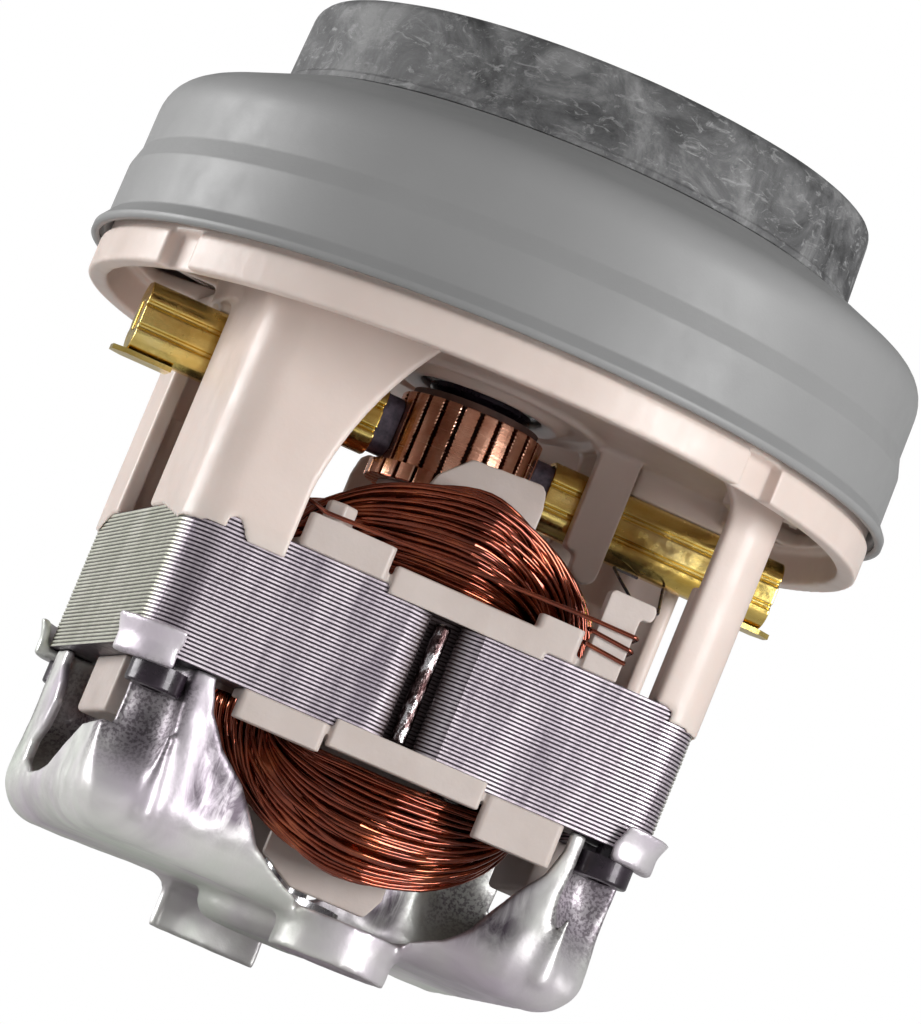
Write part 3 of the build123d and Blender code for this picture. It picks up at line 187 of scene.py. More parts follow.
# %% A tree of nodes
class Shade:
    """A node tree that is built up with one method for every kind of node."""

    def __init__(self, tree):
        self.tree = tree
        tree.nodes.clear()

    def add(self, kind, settings=None, sockets=None):
        """Adds a node: its settings come first, then the values or links of its sockets."""
        node = self.tree.nodes.new(kind)
        for name, value in (settings or {}).items():
            if name == "stops":
                self.set_stops(node.color_ramp, value)
            else:
                setattr(node, name, value)
        for key, value in (sockets or {}).items():
            if isinstance(value, Term):
                self.tree.links.new(value.socket, node.inputs[key])
            else:
                node.inputs[key].default_value = value
        return Placed(self, node)

    def set_stops(self, ramp, stops):
        while len(ramp.elements) > 1:
            ramp.elements.remove(ramp.elements[-1])
        for index, (place, colour) in enumerate(stops):
            element = ramp.elements[0] if index == 0 else ramp.elements.new(place)
            element.position = place
            element.color = (*colour, 1.0)

    def ramp(self, value, *stops):
        """Colour that runs through (value, colour) stops."""
        return self.add("ShaderNodeValToRGB", {"stops": stops}, {0: value}).out()

    def span(self, value, low, high, to_low=0.0, to_high=1.0):
        """The value's range low to high, mapped and clamped to another range."""
        sockets = {"Value": value, "From Min": low, "From Max": high, "To Min": to_low, "To Max": to_high}
        return self.add("ShaderNodeMapRange", {}, sockets).out()

    def mix(self, share, first, second):
        """Colour between two colours, which are sockets 6 and 7 of the node."""
        return self.add("ShaderNodeMix", {"data_type": "RGBA"}, {0: share, 6: first, 7: second}).out(2)

    def where(self, scale=(1, 1, 1), turned=(0, 0, 0)):
        """Object coordinates. A scale below 1 draws a pattern out along that axis, above 1 squeezes it."""
        place = self.add("ShaderNodeTexCoord").out("Object")
        sockets = {"Vector": place, "Scale": scale, "Rotation": turned}
        return self.add("ShaderNodeMapping", {}, sockets).out()

    def axes(self):
        """X, Y and Z of the object coordinates, in millimetres."""
        place = self.add("ShaderNodeTexCoord").out("Object")
        parts = self.add("ShaderNodeSeparateXYZ", {}, {0: place})
        return [parts.out(name) / MM for name in "XYZ"]

    def cloud(self, place, scale, detail=3.0, rough=0.55, warp=0.0):
        """Noise at a scale, as cells per metre."""
        sockets = {"Vector": place, "Scale": scale, "Detail": detail, "Roughness": rough, "Distortion": warp}
        return self.add("ShaderNodeTexNoise", {}, sockets).out("Fac")


print("shader helpers", [name for name in vars(Shade) if not name.startswith("_")])

# %% [markdown]
# The object is photographed on white, so the world is plain white to the camera and through glass. A metal
# that mirrored that white all round would have no form, so mirrored rays see greys instead: a lighter one
# below, where a white table throws light up, and a darker one above. All other rays get a weak even fill,
# which keeps the shadows open.

# %% World
world = bpy.data.worlds.new("studio")
bpy.context.scene.world = world
world.use_nodes = True
sky = Shade(world.node_tree)
ray = sky.add("ShaderNodeLightPath")
seen_rays = {0: ray.out("Is Camera Ray"), 1: ray.out("Is Transmission Ray")}
seen = sky.add("ShaderNodeMath", {"operation": "MAXIMUM"}, seen_rays).out()
mirrored = ray.out("Is Glossy Ray")
direction = sky.add("ShaderNodeSeparateXYZ", {}, {0: sky.add("ShaderNodeTexCoord").out("Generated")})
grey_below, grey_above, fill = 0.44, 0.20, 0.28
mirror_level = sky.span(direction.out("Z"), -0.6, 0.7, grey_below, grey_above)
level = fill * (1 - mirrored) + mirror_level * mirrored
strength = seen + (1 - seen) * level
background = sky.add("ShaderNodeBackground", {}, {"Color": (1, 1, 1, 1), "Strength": strength})
sky.add("ShaderNodeOutputWorld", {}, {"Surface": background.out()})
print("world nodes", len(world.node_tree.nodes))

# %% [markdown]
# Three large soft lamps do the rest: the main one to the left and a little behind, a second right of the
# camera, and a low one that reaches the undersides, which the photograph shows. They are near enough to
# leave the side faces of the stack and the housing at different levels.

# %% Lamps
def soft_lamp(name, place, size, power):
    """Square area lamp, placed in metres, that faces the middle of the motor."""
    data = bpy.data.lights.new(name, "AREA")
    data.shape = "SQUARE"
    data.size = size
    data.energy = power
    lamp = bpy.data.objects.new(name, data)
    bpy.context.scene.collection.objects.link(lamp)
    lamp.location = place
    aim = Vector((0, 0, 0.07)) - Vector(place)
    lamp.rotation_euler = aim.to_track_quat("-Z", "Y").to_euler()


soft_lamp("left_lamp", (-0.86, 0.30, 0.12), 0.55, 9.5)
soft_lamp("right_lamp", (0.55, -0.72, 0.18), 0.42, 6.6)
soft_lamp("low_lamp", (0.55, -0.50, -0.28), 0.45, 3.2)
bpy.context.scene.view_settings.view_transform = "Standard"

# %% [markdown]
# A finish is made by a recipe: a function that adds its own nodes and gives back the sockets of the
# Principled shader, a height for the bump and the bump's depth in metres. What varies over a surface is
# only colour, roughness and bump. Grain is noise at the size that the real one has, so 900 cells to the
# metre is about a millimetre, and it is laid in object coordinates, which move with the piece.

# %% Finishes
finishes = {}


def finish(build):
    """Makes the material that a recipe is named for, and keeps it under that name."""
    material = bpy.data.materials.new(build.__name__)
    material.use_nodes = True
    tree = Shade(material.node_tree)
    sockets, height, depth = build(tree)
    bump = tree.add("ShaderNodeBump", {}, {"Height": height, "Distance": depth, "Strength": 1.0})
    surface = tree.add("ShaderNodeBsdfPrincipled", {}, {**sockets, "Normal": bump.out()})
    tree.add("ShaderNodeOutputMaterial", {}, {"Surface": surface.out()})
    finishes[build.__name__] = material
    print("finish", build.__name__, len(tree.tree.nodes), "nodes")


# %% [markdown]
# The housing is a creamy, slightly pink moulding, and the end frames and guides are a greyer nylon,
# darker partly as painted shade, since the frames sit in shadow. Both let a little light in, so thin edges
# glow. Paint alone would look like chalk, so some of the light goes through the surface. The soft cloud in
# the colour is the uneven white of a large moulding.

# %% White mouldings
def plastic_white(tree):
    place = tree.where()
    soft = tree.cloud(place, 60.0)
    fine = tree.cloud(place, 900.0, 2.0)
    return {
        "Base Color": tree.ramp(soft, (0.3, (0.72, 0.60, 0.54)), (0.7, (0.79, 0.67, 0.61))),
        "Roughness": tree.span(tree.cloud(place, 220.0, 4.0), 0.3, 0.7, 0.30, 0.46),
        "Subsurface Weight": 0.18, "Subsurface Radius": (0.9, 0.5, 0.4), "Subsurface Scale": 0.002,
    }, fine, 0.00003


def nylon_white(tree):
    place = tree.where()
    soft = tree.cloud(place, 120.0)
    return {
        # The nylon's colour is set darker partly as painted shade, for frames that sit in shadow.
        "Base Color": tree.ramp(soft, (0.3, (0.54, 0.46, 0.42)), (0.7, (0.61, 0.53, 0.49))),
        "Roughness": tree.span(tree.cloud(place, 300.0, 4.0), 0.3, 0.7, 0.36, 0.52),
        "Subsurface Weight": 0.22, "Subsurface Radius": (0.9, 0.6, 0.45), "Subsurface Scale": 0.002,
    }, tree.cloud(place, 1400.0, 2.0), 0.00003


finish(plastic_white)
finish(nylon_white)

# %% [markdown]
# The cover wears an even grey paint: its colour hardly changes, and a very fine bump softens the highlight.
# The seal is the opposite, a dark rubber that dust and handling have marbled: a wide cloud gives the
# blotches, and a second one, squeezed along the ring's height, gives pale scuffs that run round on top.

# %% Paint and rubber
def paint_grey(tree):
    place = tree.where()
    tone = tree.cloud(place, 35.0, 2.0)
    rough = tree.span(tree.cloud(place, 160.0, 5.0), 0.35, 0.65, 0.44, 0.54)
    colour = tree.ramp(tone, (0.3, (0.272, 0.272, 0.272)), (0.7, (0.30, 0.30, 0.30)))
    return {"Base Color": colour, "Roughness": rough}, tree.cloud(place, 1800.0), 0.00002


def rubber_dark(tree):
    blotch = tree.cloud(tree.where(), 90.0, 8.0, 0.7, 0.6)
    scuff = tree.cloud(tree.where((1, 1, 2.2), (0.3, 0.2, 0.5)), 260.0, 9.0, 0.75, 1.2)
    base = tree.ramp(
        blotch, (0.36, (0.040, 0.040, 0.041)), (0.50, (0.115, 0.115, 0.117)), (0.64, (0.25, 0.25, 0.25))
    )
    return {
        "Base Color": tree.mix(tree.span(scuff, 0.54, 0.66, 0.0, 0.8), base, (0.36, 0.36, 0.36, 1)),
        "Roughness": tree.span(blotch, 0.3, 0.7, 0.45, 0.8),
    }, scuff, 0.00012


finish(paint_grey)
finish(rubber_dark)

# %% [markdown]
# The bracket is plated sheet, bright but not a mirror: it drifts between a greenish and a violet grey, has
# dull stains, and its surface waves a little, as pressed sheet does. Two places get painted darkness. The
# thin webs beside the coils are darkened in streaks, a painted dark reflection, and the channels for the
# screwdriver get painted shade, nearly black and broken by grain. Both are masks in object coordinates,
# which is simpler than a second material with its own seam.

# %% Plated sheet
def plated(tree):
    place = tree.where()
    x, y, z = tree.axes()
    tint = tree.cloud(place, 45.0)
    stain = tree.span(tree.cloud(place, 55.0, 4.0, 0.5, 0.6), 0.50, 0.72, 0.0, 0.55)
    base = tree.ramp(tint, (0.35, (0.76, 0.80, 0.73)), (0.5, (0.83, 0.82, 0.80)), (0.65, (0.76, 0.69, 0.76)))
    colour = tree.mix(stain, base, (0.44, 0.41, 0.43, 1))
    # Painted dark reflection: the webs beside the coils are darkened in streaks.
    web_shade = tree.span(abs(y), 27.5, 30.0) * tree.span(abs(x), 29.0, 25.5) * tree.span(z, 11.5, 16.5)
    web_streaks = tree.cloud(tree.where((1.6, 1, 0.5), (0, 0.5, 0)), 240.0, 5.0, 0.65, 1.0)
    colour = tree.mix(web_shade * tree.span(web_streaks, 0.36, 0.60, 0.50, 1.0), colour, (0.10, 0.08, 0.10, 1))
    # Painted shade: the screwdriver channels are darkened nearly to black, broken by grain.
    channel = tree.span(abs(x), 29.5, 31.2) * tree.span(abs(y), 26.2, 28.0)
    channel = channel * tree.span(z, 15.0, 21.5) * tree.span(z, 33.5, 31.5)
    grain = tree.span(tree.cloud(place, 1900.0, 2.0), 0.42, 0.56, 0.85, 0.45)
    colour = tree.mix(channel * grain, colour, (0.12, 0.095, 0.115, 1))
    rough = tree.span(tree.cloud(place, 300.0, 4.0, 0.5), 0.3, 0.75, 0.34, 0.50)
    wave = tree.cloud(place, 90.0, 2.0) * 0.5 + tree.cloud(place, 1500.0) * 0.08
    return {"Base Color": colour, "Roughness": rough, "Metallic": 0.62}, wave, 0.0004


finish(plated)

# %% [markdown]
# The stack's faces are the sheared edges of its plates. The gaps between the plates are modelled further
# down, and this finish darkens them, because dirt and shadow sit there: the height is counted in plates,
# and a ping-pong of it is 0 in each gap. The long faces are a violet grey streaked along the shaft, their
# darker streaks partly a painted reflection, and the narrow side faces a greener one. The groove in the
# middle of each long face is painted nearly black as shade.

# %% Lamination steel
def lamination(tree):
    x, y, z = tree.axes()
    # Streaks along the shaft, whose darker bands are partly a painted reflection.
    streak_and_reflection = tree.cloud(tree.where((1, 1, 0.15)), 130.0, 5.0, 0.65)
    violet = (0.38, (0.36, 0.31, 0.36)), (0.55, (0.72, 0.64, 0.70)), (0.75, (0.95, 0.90, 0.94))
    greenish = (0.35, (0.50, 0.51, 0.42)), (0.6, (0.66, 0.66, 0.57)), (0.8, (0.74, 0.74, 0.67))
    front = tree.ramp(streak_and_reflection, *violet)
    side = tree.ramp(streak_and_reflection, *greenish)
    sideways = tree.span(abs(x), 40.5, 41.5)
    plates_up = (z - stack_low) / ((stack_high - stack_low) / plate_count)
    from_gap = tree.add("ShaderNodeMath", {"operation": "PINGPONG"}, {0: plates_up, 1: 0.5}).out()
    wander = (tree.cloud(tree.where((1, 1, 8)), 300.0, 2.0) - 0.5) * 0.12
    front_edge = tree.span(from_gap + wander, 0.15, 0.27)
    side_edge = tree.span(from_gap, 0.08, 0.20)
    edge = front_edge * (1 - sideways) + side_edge * sideways
    colour = tree.mix(edge, (0.05, 0.036, 0.048, 1), tree.mix(sideways, front, side))
    # Painted shade: the groove in each long face is darkened nearly to black.
    groove = tree.span(abs(y), 37.0, 36.2) * tree.span(abs(x), 6.2, 5.7)
    colour = tree.mix(groove * 0.88, colour, (0.030, 0.014, 0.012, 1))
    rough = tree.span(tree.cloud(tree.where(), 500.0, 4.0), 0.3, 0.7, 0.34, 0.5)
    fine = tree.cloud(tree.where(), 2500.0)
    return {"Base Color": colour, "Roughness": rough, "Metallic": 0.55}, fine, 0.00004


finish(lamination)

# %% [markdown]
# Coil wire is copper under clear enamel: a dark red metal with a sharp coat over it, so each turn draws one
# thin bright line. Bare brass and the commutator's copper have no coat. Brass is streaked along the tube,
# as it was drawn, and the brushes have polished rings round the commutator, a noise stretched flat across
# it.

# %% Copper and brass
def copper_enamel(tree):
    place = tree.where()
    tone = tree.cloud(place, 160.0, 4.0, 0.6)
    return {
        "Base Color": tree.ramp(
            tone, (0.3, (0.16, 0.022, 0.006)), (0.55, (0.30, 0.052, 0.014)), (0.8, (0.56, 0.15, 0.045))
        ),
        "Roughness": 0.11, "Metallic": 0.92, "Coat Weight": 1.0, "Coat Roughness": 0.05,
    }, tree.cloud(place, 700.0, 2.0), 0.000004


def brass(tree):
    place = tree.where()
    tone = tree.cloud(tree.where((0.3, 1, 1)), 220.0, 4.0, 0.6)
    colour = tree.ramp(tone, (0.3, (0.62, 0.40, 0.08)), (0.6, (0.86, 0.66, 0.22)), (0.8, (0.95, 0.80, 0.40)))
    rough = tree.span(tree.cloud(place, 500.0, 5.0), 0.3, 0.7, 0.14, 0.30)
    return {"Base Color": colour, "Roughness": rough, "Metallic": 1.0}, tree.cloud(place, 300.0), 0.00006


def commutator_copper(tree):
    rings = tree.cloud(tree.where((0.05, 0.05, 1)), 2600.0)
    tone = tree.cloud(tree.where(), 260.0, 4.0)
    colour = tree.ramp(tone, (0.3, (0.66, 0.31, 0.20)), (0.6, (0.92, 0.52, 0.37)), (0.8, (0.99, 0.70, 0.55)))
    rough = tree.span(rings, 0.3, 0.7, 0.18, 0.28)
    return {"Base Color": colour, "Roughness": rough, "Metallic": 1.0}, rings, 0.000012


finish(copper_enamel)
finish(brass)
finish(commutator_copper)

# %% [markdown]
# The plainer metals share one pattern, two tones and a roughness that drifts: blackened screws and washer,
# bright steel for shaft, bearings and springs, and alloy for the fan. The ragged line that stands in the
# stack's groove is bright steel painted mostly dark as shade, with bright flecks of painted highlight.

# %% Other metals
def dark_metal(tree):
    place = tree.where()
    tone = tree.cloud(place, 300.0, 4.0)
    rough = tree.span(tree.cloud(place, 700.0, 4.0), 0.3, 0.7, 0.22, 0.42)
    return {
        "Base Color": tree.ramp(tone, (0.3, (0.012, 0.008, 0.012)), (0.7, (0.035, 0.022, 0.035))),
        "Roughness": rough, "Metallic": 0.3, "Coat Weight": 0.3,
    }, tree.cloud(place, 1500.0), 0.00003


def bright_steel(tree):
    place = tree.where()
    tone = tree.cloud(place, 250.0, 4.0)
    colour = tree.ramp(tone, (0.3, (0.46, 0.46, 0.48)), (0.7, (0.66, 0.66, 0.67)))
    rough = tree.span(tree.cloud(place, 800.0, 4.0), 0.3, 0.7, 0.16, 0.32)
    return {"Base Color": colour, "Roughness": rough, "Metallic": 1.0}, tree.cloud(place, 1500.0), 0.00003


def alloy(tree):
    place = tree.where()
    tone = tree.cloud(place, 150.0, 4.0)
    colour = tree.ramp(tone, (0.3, (0.55, 0.55, 0.56)), (0.7, (0.70, 0.70, 0.71)))
    rough = tree.span(tree.cloud(tree.where((1, 1, 0.2)), 600.0, 4.0), 0.3, 0.7, 0.24, 0.4)
    return {"Base Color": colour, "Roughness": rough, "Metallic": 1.0}, tree.cloud(place, 1500.0), 0.00003


def weld_pin(tree):
    fleck_and_glint = tree.cloud(tree.where((1, 1, 0.5)), 900.0, 4.0, 0.7)
    # Painted shade and highlight: mostly dark, with bright flecks of painted highlight.
    tones = (0.40, (0.03, 0.015, 0.015)), (0.52, (0.16, 0.11, 0.11)), (0.60, (0.85, 0.82, 0.84))
    colour = tree.ramp(fleck_and_glint, *tones)
    return {"Base Color": colour, "Roughness": 0.2, "Metallic": 1.0}, fleck_and_glint, 0.00025


finish(dark_metal)
finish(bright_steel)
finish(alloy)
finish(weld_pin)

# %% [markdown]
# The rest is small and mostly in shadow. Brushes are baked carbon, matt with a violet cast. The bearing's
# shield carries grease that spinning has drawn into pale swirls, a ring wave bent by noise. Slots are lined
# with brown paper, and the commutator's moulded hub is near enough to it to share the finish.

# %% Carbon, grease and paper
def carbon(tree):
    place = tree.where()
    colour = tree.ramp(tree.cloud(place, 900.0, 5.0), (0.3, (0.05, 0.04, 0.06)), (0.7, (0.15, 0.12, 0.17)))
    return {"Base Color": colour, "Roughness": 0.42, "Metallic": 0.2}, tree.cloud(place, 1800.0, 4.0), 0.00005


def seal_greased(tree):
    sockets = {"Vector": tree.where(), "Scale": 60.0, "Distortion": 9.0, "Detail": 3.0, "Detail Scale": 1.6}
    swirl = tree.add("ShaderNodeTexWave", {"wave_type": "RINGS", "rings_direction": "Z"}, sockets).out("Fac")
    tones = (0.22, (0.04, 0.06, 0.055)), (0.40, (0.60, 0.70, 0.64)), (0.8, (0.90, 0.95, 0.91))
    colour = tree.ramp(swirl, *tones)
    return {"Base Color": colour, "Roughness": 0.22, "Coat Weight": 0.5}, swirl, 0.0001


def paper_dark(tree):
    place = tree.where()
    colour = tree.ramp(tree.cloud(place, 200.0, 4.0), (0.3, (0.05, 0.02, 0.015)), (0.7, (0.14, 0.07, 0.05)))
    return {"Base Color": colour, "Roughness": 0.6}, tree.cloud(place, 1200.0), 0.00004


finish(carbon)
finish(seal_greased)
finish(paper_dark)

# %% [markdown]
# The record of the CAD part names a material slot for each node. One list says which finish a slot takes,
# and every CAD node is given its own, so that even a part that no camera sees here is dressed.

# %% Dress the CAD nodes
slot_finish = {
    "lamination_steel": "lamination", "bright_pin": "weld_pin", "slot_paper": "paper_dark",
    "plated_sheet": "plated", "black_screw": "dark_metal", "white_housing": "plastic_white",
    "white_nylon": "nylon_white", "copper_wire": "copper_enamel", "brass": "brass",
    "dark_wire": "dark_metal", "spring_steel": "bright_steel", "carbon": "carbon",
    "bearing_steel": "bright_steel", "bearing_seal": "seal_greased", "shaft_steel": "bright_steel",
    "commutator_copper": "commutator_copper", "phenolic": "paper_dark", "slinger_black": "dark_metal",
    "fan_aluminium": "alloy", "diffuser_plastic": "nylon_white", "zinc_screw": "bright_steel",
    "cover_grey": "paint_grey", "seal_rubber": "rubber_dark",
}
node_slot = {part["node"]: part["material_slot"] for part in frame["record"]["subparts"]}
for name, piece in frame["nodes"].items():
    piece.data.materials.clear()
    piece.data.materials.append(finishes[slot_finish[node_slot[name]]])
print("finishes", len(finishes), "CAD nodes dressed", len(frame["nodes"]))

# %% [markdown]
# Every new piece is a mesh that rides on a body, stands for a CAD node and takes that node's finish. Riding
# makes it move with the body, and standing for a node hides the plain solid underneath. Its vertices are
# given in millimetres and are scaled to metres when the mesh is made.

# %% Making a piece
def dress(made, node):
    """Gives a mesh object its node's finish, body and slot, and lets it stand for the node."""
    slot = node_slot[node]
    made.data.materials.clear()
    made.data.materials.append(finishes[slot_finish[slot]])
    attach(made, frame["nodes"][node]["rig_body"])
    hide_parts(node)
    return made


def add_piece(name, vertices, faces, node, smooth=True):
    """Makes a mesh object from vertices in millimetres and dresses it for its node."""
    mesh = bpy.data.meshes.new(name)
    mesh.from_pydata([(x * MM, y * MM, z * MM) for x, y, z in vertices], [], faces)
    mesh.validate()
    mesh.polygons.foreach_set("use_smooth", [smooth] * len(mesh.polygons))
    made = bpy.data.objects.new(name, mesh)
    bpy.context.scene.collection.objects.link(made)
    print(name, len(mesh.vertices), "vertices, stands for", node)
    return dress(made, node)


# %% [markdown]
# Many forms here are a grid of points: an outline repeated round an axis, along a wire or up a stack. One
# helper makes the quads of such a grid. Another rounds the corners of an outline, as no press or mould
# leaves one sharp.

# %% Grids and rounded outlines
def strip_faces(rows, columns, start=0, wrap_rows=False, wrap_columns=False):
    """Quads over a grid of vertices laid row by row."""
    faces = []
    for row in range(rows if wrap_rows else rows - 1):
        here = start + row * columns
        there = start + (row + 1) % rows * columns
        for column in range(columns if wrap_columns else columns - 1):
            after = (column + 1) % columns
            faces.append((here + column, here + after, there + after, there + column))
    return faces


def rounded(points, rounds, closed=True, steps=6):
    """Points of a line whose corners are cut by curves of about the given radii."""
    line = []
    count = len(points)
    for index, (point, radius) in enumerate(zip(points, rounds)):
        end = not closed and index in (0, count - 1)
        if radius == 0 or end:
            line.append(point)
            continue
        corner = Vector(point)
        before = Vector(points[index - 1]) - corner
        after = Vector(points[(index + 1) % count]) - corner
        half = before.angle(after) / 2
        cut = min(radius / tan(half), before.length * 0.48, after.length * 0.48)
        first = corner + before.normalized() * cut
        last = corner + after.normalized() * cut
        for step in range(steps + 1):
            t = step / steps
            spot = first * (1 - t) ** 2 + corner * 2 * t * (1 - t) + last * t * t
            line.append(tuple(spot))
    return line


def lathe(profile, steps=288):
    """Vertices and faces of a closed (radius, height) outline turned about the shaft axis."""
    vertices = []
    for step in range(steps):
        angle = 2 * pi * step / steps
        vertices += [(r * cos(angle), r * sin(angle), z) for r, z in profile]
    return vertices, strip_faces(steps, len(profile), 0, True, True)


square_line = rounded([(0, 0), (1, 0), (1, 1), (0, 1)], [0.2, 0.2, 0.2, 0.2])
print("a square with rounded corners has", len(square_line), "points")

# %% [markdown]
# The cover is one pressed sheet: a short lip, a straight skirt, a step and a soft shoulder, and a turned-
# down edge round the air inlet. Only the outer line is written, and the inner one follows at the sheet's
# thickness. A turned outline gives all of it, with many steps round so that its long highlights stay
# smooth.

# %% Cover
def sheet_line(points, rounds, wall):
    """Closed outline of a bent sheet from its outer line, thickened inwards."""
    line = rounded(points, rounds, False, 8)
    inner = []
    for index, point in enumerate(line):
        before = Vector(point) - Vector(line[max(index - 1, 0)])
        after = Vector(line[min(index + 1, len(line) - 1)]) - Vector(point)
        along = (before + after).normalized()
        inner.append((point[0] - wall * along[1], point[1] + wall * along[0]))
    return line + inner[::-1]


lip_edge, skirt_low, step_low, step_high, shoulder_low, cover_top = 93.72, 96.7, 104.7, 107.8, 118.6, 125.38
lip_reach, skirt_reach, upper_reach, crown_reach, inlet_reach = 65.13, 63.64, 62.64, 47.04, 22.0
taper, cover_wall = 0.1, 1.2
cover_line = [
    (lip_reach, lip_edge), (lip_reach, lip_edge + 1.08), (skirt_reach, skirt_low),
    (skirt_reach - taper, step_low), (upper_reach, step_high), (upper_reach - taper, shoulder_low),
    (crown_reach, cover_top), (inlet_reach, cover_top), (inlet_reach, cover_top - 3.56),
]
cover_rounds = [0, 0.5, 0.9, 1.6, 1.8, 7.0, 7.0, 2.6, 0]
cover_sheet = sheet_line(cover_line, cover_rounds, cover_wall)
add_piece("cover_sheet", *lathe(cover_sheet), "fan_cover")
print("cover outline points", len(cover_sheet))

# %% [markdown]
# The seal is a thick rubber ring. Handling has pressed its edges a little out of true, so its outline is
# turned and then moved in and out by slow noise of a tenth of a millimetre. A little play keeps it inside
# its CAD solid.

# %% Seal
seal_low, seal_high, seal_outer, seal_inner = 125.45, 139.2, 46.95, 38.7
seal_points = [
    (seal_inner, seal_low), (seal_outer, seal_low), (seal_outer - 0.05, seal_low + 0.95),
    (seal_outer - 0.4, seal_low + 1.25), (seal_outer - 1.0, seal_high), (seal_inner + 2.1, seal_high),
    (seal_inner, seal_high - 2.0),
]
seal_vertices, seal_faces = lathe(rounded(seal_points, [0, 0.2, 0.3, 0.6, 2.6, 0.6, 0.8]))
play, push_reach = 0.15, 46.0
worn = []
for x, y, z in seal_vertices:
    drift = noise.noise(Vector((x, y, z * 2)) * 0.09) * 0.12 + noise.noise(Vector((x, y, z)) * 0.5) * 0.03
    share = 1 + (drift - play) / push_reach
    worn.append((x * share, y * share, z - 0.05 + drift * 0.2))
add_piece("seal_ring", worn, seal_faces, "inlet_seal")

# %% [markdown]
# Mouldings have no sharp edge anywhere, and the brush tubes are bent from thin brass. Their CAD shapes are
# remade in even small cells and smoothed a few times, which rounds every edge and blends every corner as a
# mould does. A bevel would do for one box, but these have many edges that meet at odd angles. The finer the
# piece, the smaller its cells.

# %% Softened pieces
def softened(name, node, cell, passes):
    """A CAD node's shape in small cells, smoothed."""
    work = bpy.data.objects.new(name + "_work", frame["nodes"][node].data.copy())
    bpy.context.scene.collection.objects.link(work)
    remesh = work.modifiers.new("cells", "REMESH")
    remesh.mode = "VOXEL"
    remesh.voxel_size = cell * MM
    even = work.modifiers.new("even", "SMOOTH")
    even.factor = 0.5
    even.iterations = passes
    bpy.context.view_layer.update()
    depsgraph = bpy.context.evaluated_depsgraph_get()
    mesh = bpy.data.meshes.new_from_object(work.evaluated_get(depsgraph))
    bpy.data.objects.remove(work)
    mesh.name = name
    mesh.polygons.foreach_set("use_smooth", [True] * len(mesh.polygons))
    made = bpy.data.objects.new(name, mesh)
    bpy.context.scene.collection.objects.link(made)
    print(name, len(mesh.polygons), "faces")
    return dress(made, node)


coarse = 1.0
softened("housing_moulding", "motor_housing", 0.42 * coarse, 5)
for side in ("front", "rear"):
    softened(side + "_upper_moulding", side + "_upper_frame", 0.24 * coarse, 3)
    softened(side + "_lower_moulding", side + "_lower_frame", 0.24 * coarse, 3)
softened("guide_mouldings", "lead_guides", 0.3 * coarse, 3)
for side in ("right", "left"):
    softened(side + "_tube_sheet", side + "_brush_tube", 0.17 * coarse, 2)

# %% [markdown]
# The bracket is pressed from one sheet, and a press leaves no corner: walls, screwdriver channels and webs
# flow into each other. Such a form is easier as a field of distances than as faces. A field gives a number
# for every place: negative inside the metal, positive outside and zero on its surface. The larger of two
# fields is what both have in common, the smaller is both joined, and a soft version of each rounds the line
# where they meet.

# %% Fields of distance
def soft_max(a, b, reach):
    """Larger of two fields, rounded where they meet."""
    share = np.maximum(reach - np.abs(a - b), 0) / reach
    return np.maximum(a, b) + share * share * reach / 4


def soft_min(a, b, reach):
    return -soft_max(-a, -b, reach)


def ease(value, low, high):
    """0 below low, 1 above high and smooth between."""
    t = np.clip((value - low) / (high - low), 0, 1)
    return t * t * (3 - 2 * t)


def polygon_field(points, u, v):
    """Signed distance to a closed polygon in a plane, negative inside."""
    least = np.full(np.broadcast(u, v).shape, 1e9)
    inside = np.zeros(least.shape, bool)
    for (ax, ay), (bx, by) in zip(points, points[1:] + points[:1]):
        ex, ey = bx - ax, by - ay
        t = np.clip(((u - ax) * ex + (v - ay) * ey) / (ex * ex + ey * ey + 1e-12), 0, 1)
        least = np.minimum(least, np.hypot(u - ax - ex * t, v - ay - ey * t))
        crosses = (ay > v) != (by > v)
        inside ^= crosses & (u < ax + ex * (v - ay) / (by - ay if by != ay else 1e-12))
    return np.where(inside, -least, least)


def rod_field(x, y, z, start, end, first, last):
    """Distance to a rod with round ends whose radius runs from first to last."""
    run = [b - a for a, b in zip(start, end)]
    size = sum(part * part for part in run)
    from_start = [place - corner for place, corner in zip((x, y, z), start)]
    t = np.clip(sum(gap * part for gap, part in zip(from_start, run)) / size, 0, 1)
    gaps = [gap - part * t for gap, part in zip(from_start, run)]
    return np.sqrt(gaps[0] ** 2 + gaps[1] ** 2 + gaps[2] ** 2) - (first + (last - first) * t)


def rounded_corner(a, b, radius):
    """What two fields have in common, with the edge between them turned at a radius."""
    a, b = a + radius, b + radius
    return np.hypot(np.maximum(a, 0), np.maximum(b, 0)) + np.minimum(np.maximum(a, b), 0) - radius


bracket_cell = 0.42
bracket_low = (-46.5, -42.2, -1.2)
bracket_high = (46.5, 42.2, 39.8)
counts = [int((high - low) / bracket_cell) + 1 for low, high in zip(bracket_low, bracket_high)]
steps = [low + bracket_cell * np.arange(count) for low, count in zip(bracket_low, counts)]
bx, by, bz = np.meshgrid(*steps, indexing="ij", sparse=True)
print("bracket grid", counts)

# %% [markdown]
# The outside of the bracket is a tub with a rounded floor edge, cut in at the front and rear where the
# coils stand. Front and rear are alike when the bracket is turned half round, so one set of lines does for
# both: each is used once as written and once with x and y reversed. The four corners are lobes.

# %% Bracket: the tub
half_x, half_y = 41.55, 37.25
floor_low, sheet = 7.75, 1.6
lobe_x, coil_left, coil_right, coil_y = half_x - 14.2, -4.3, 16.7, 28.8
floor_bend, corner_round = 7.0, 8.0


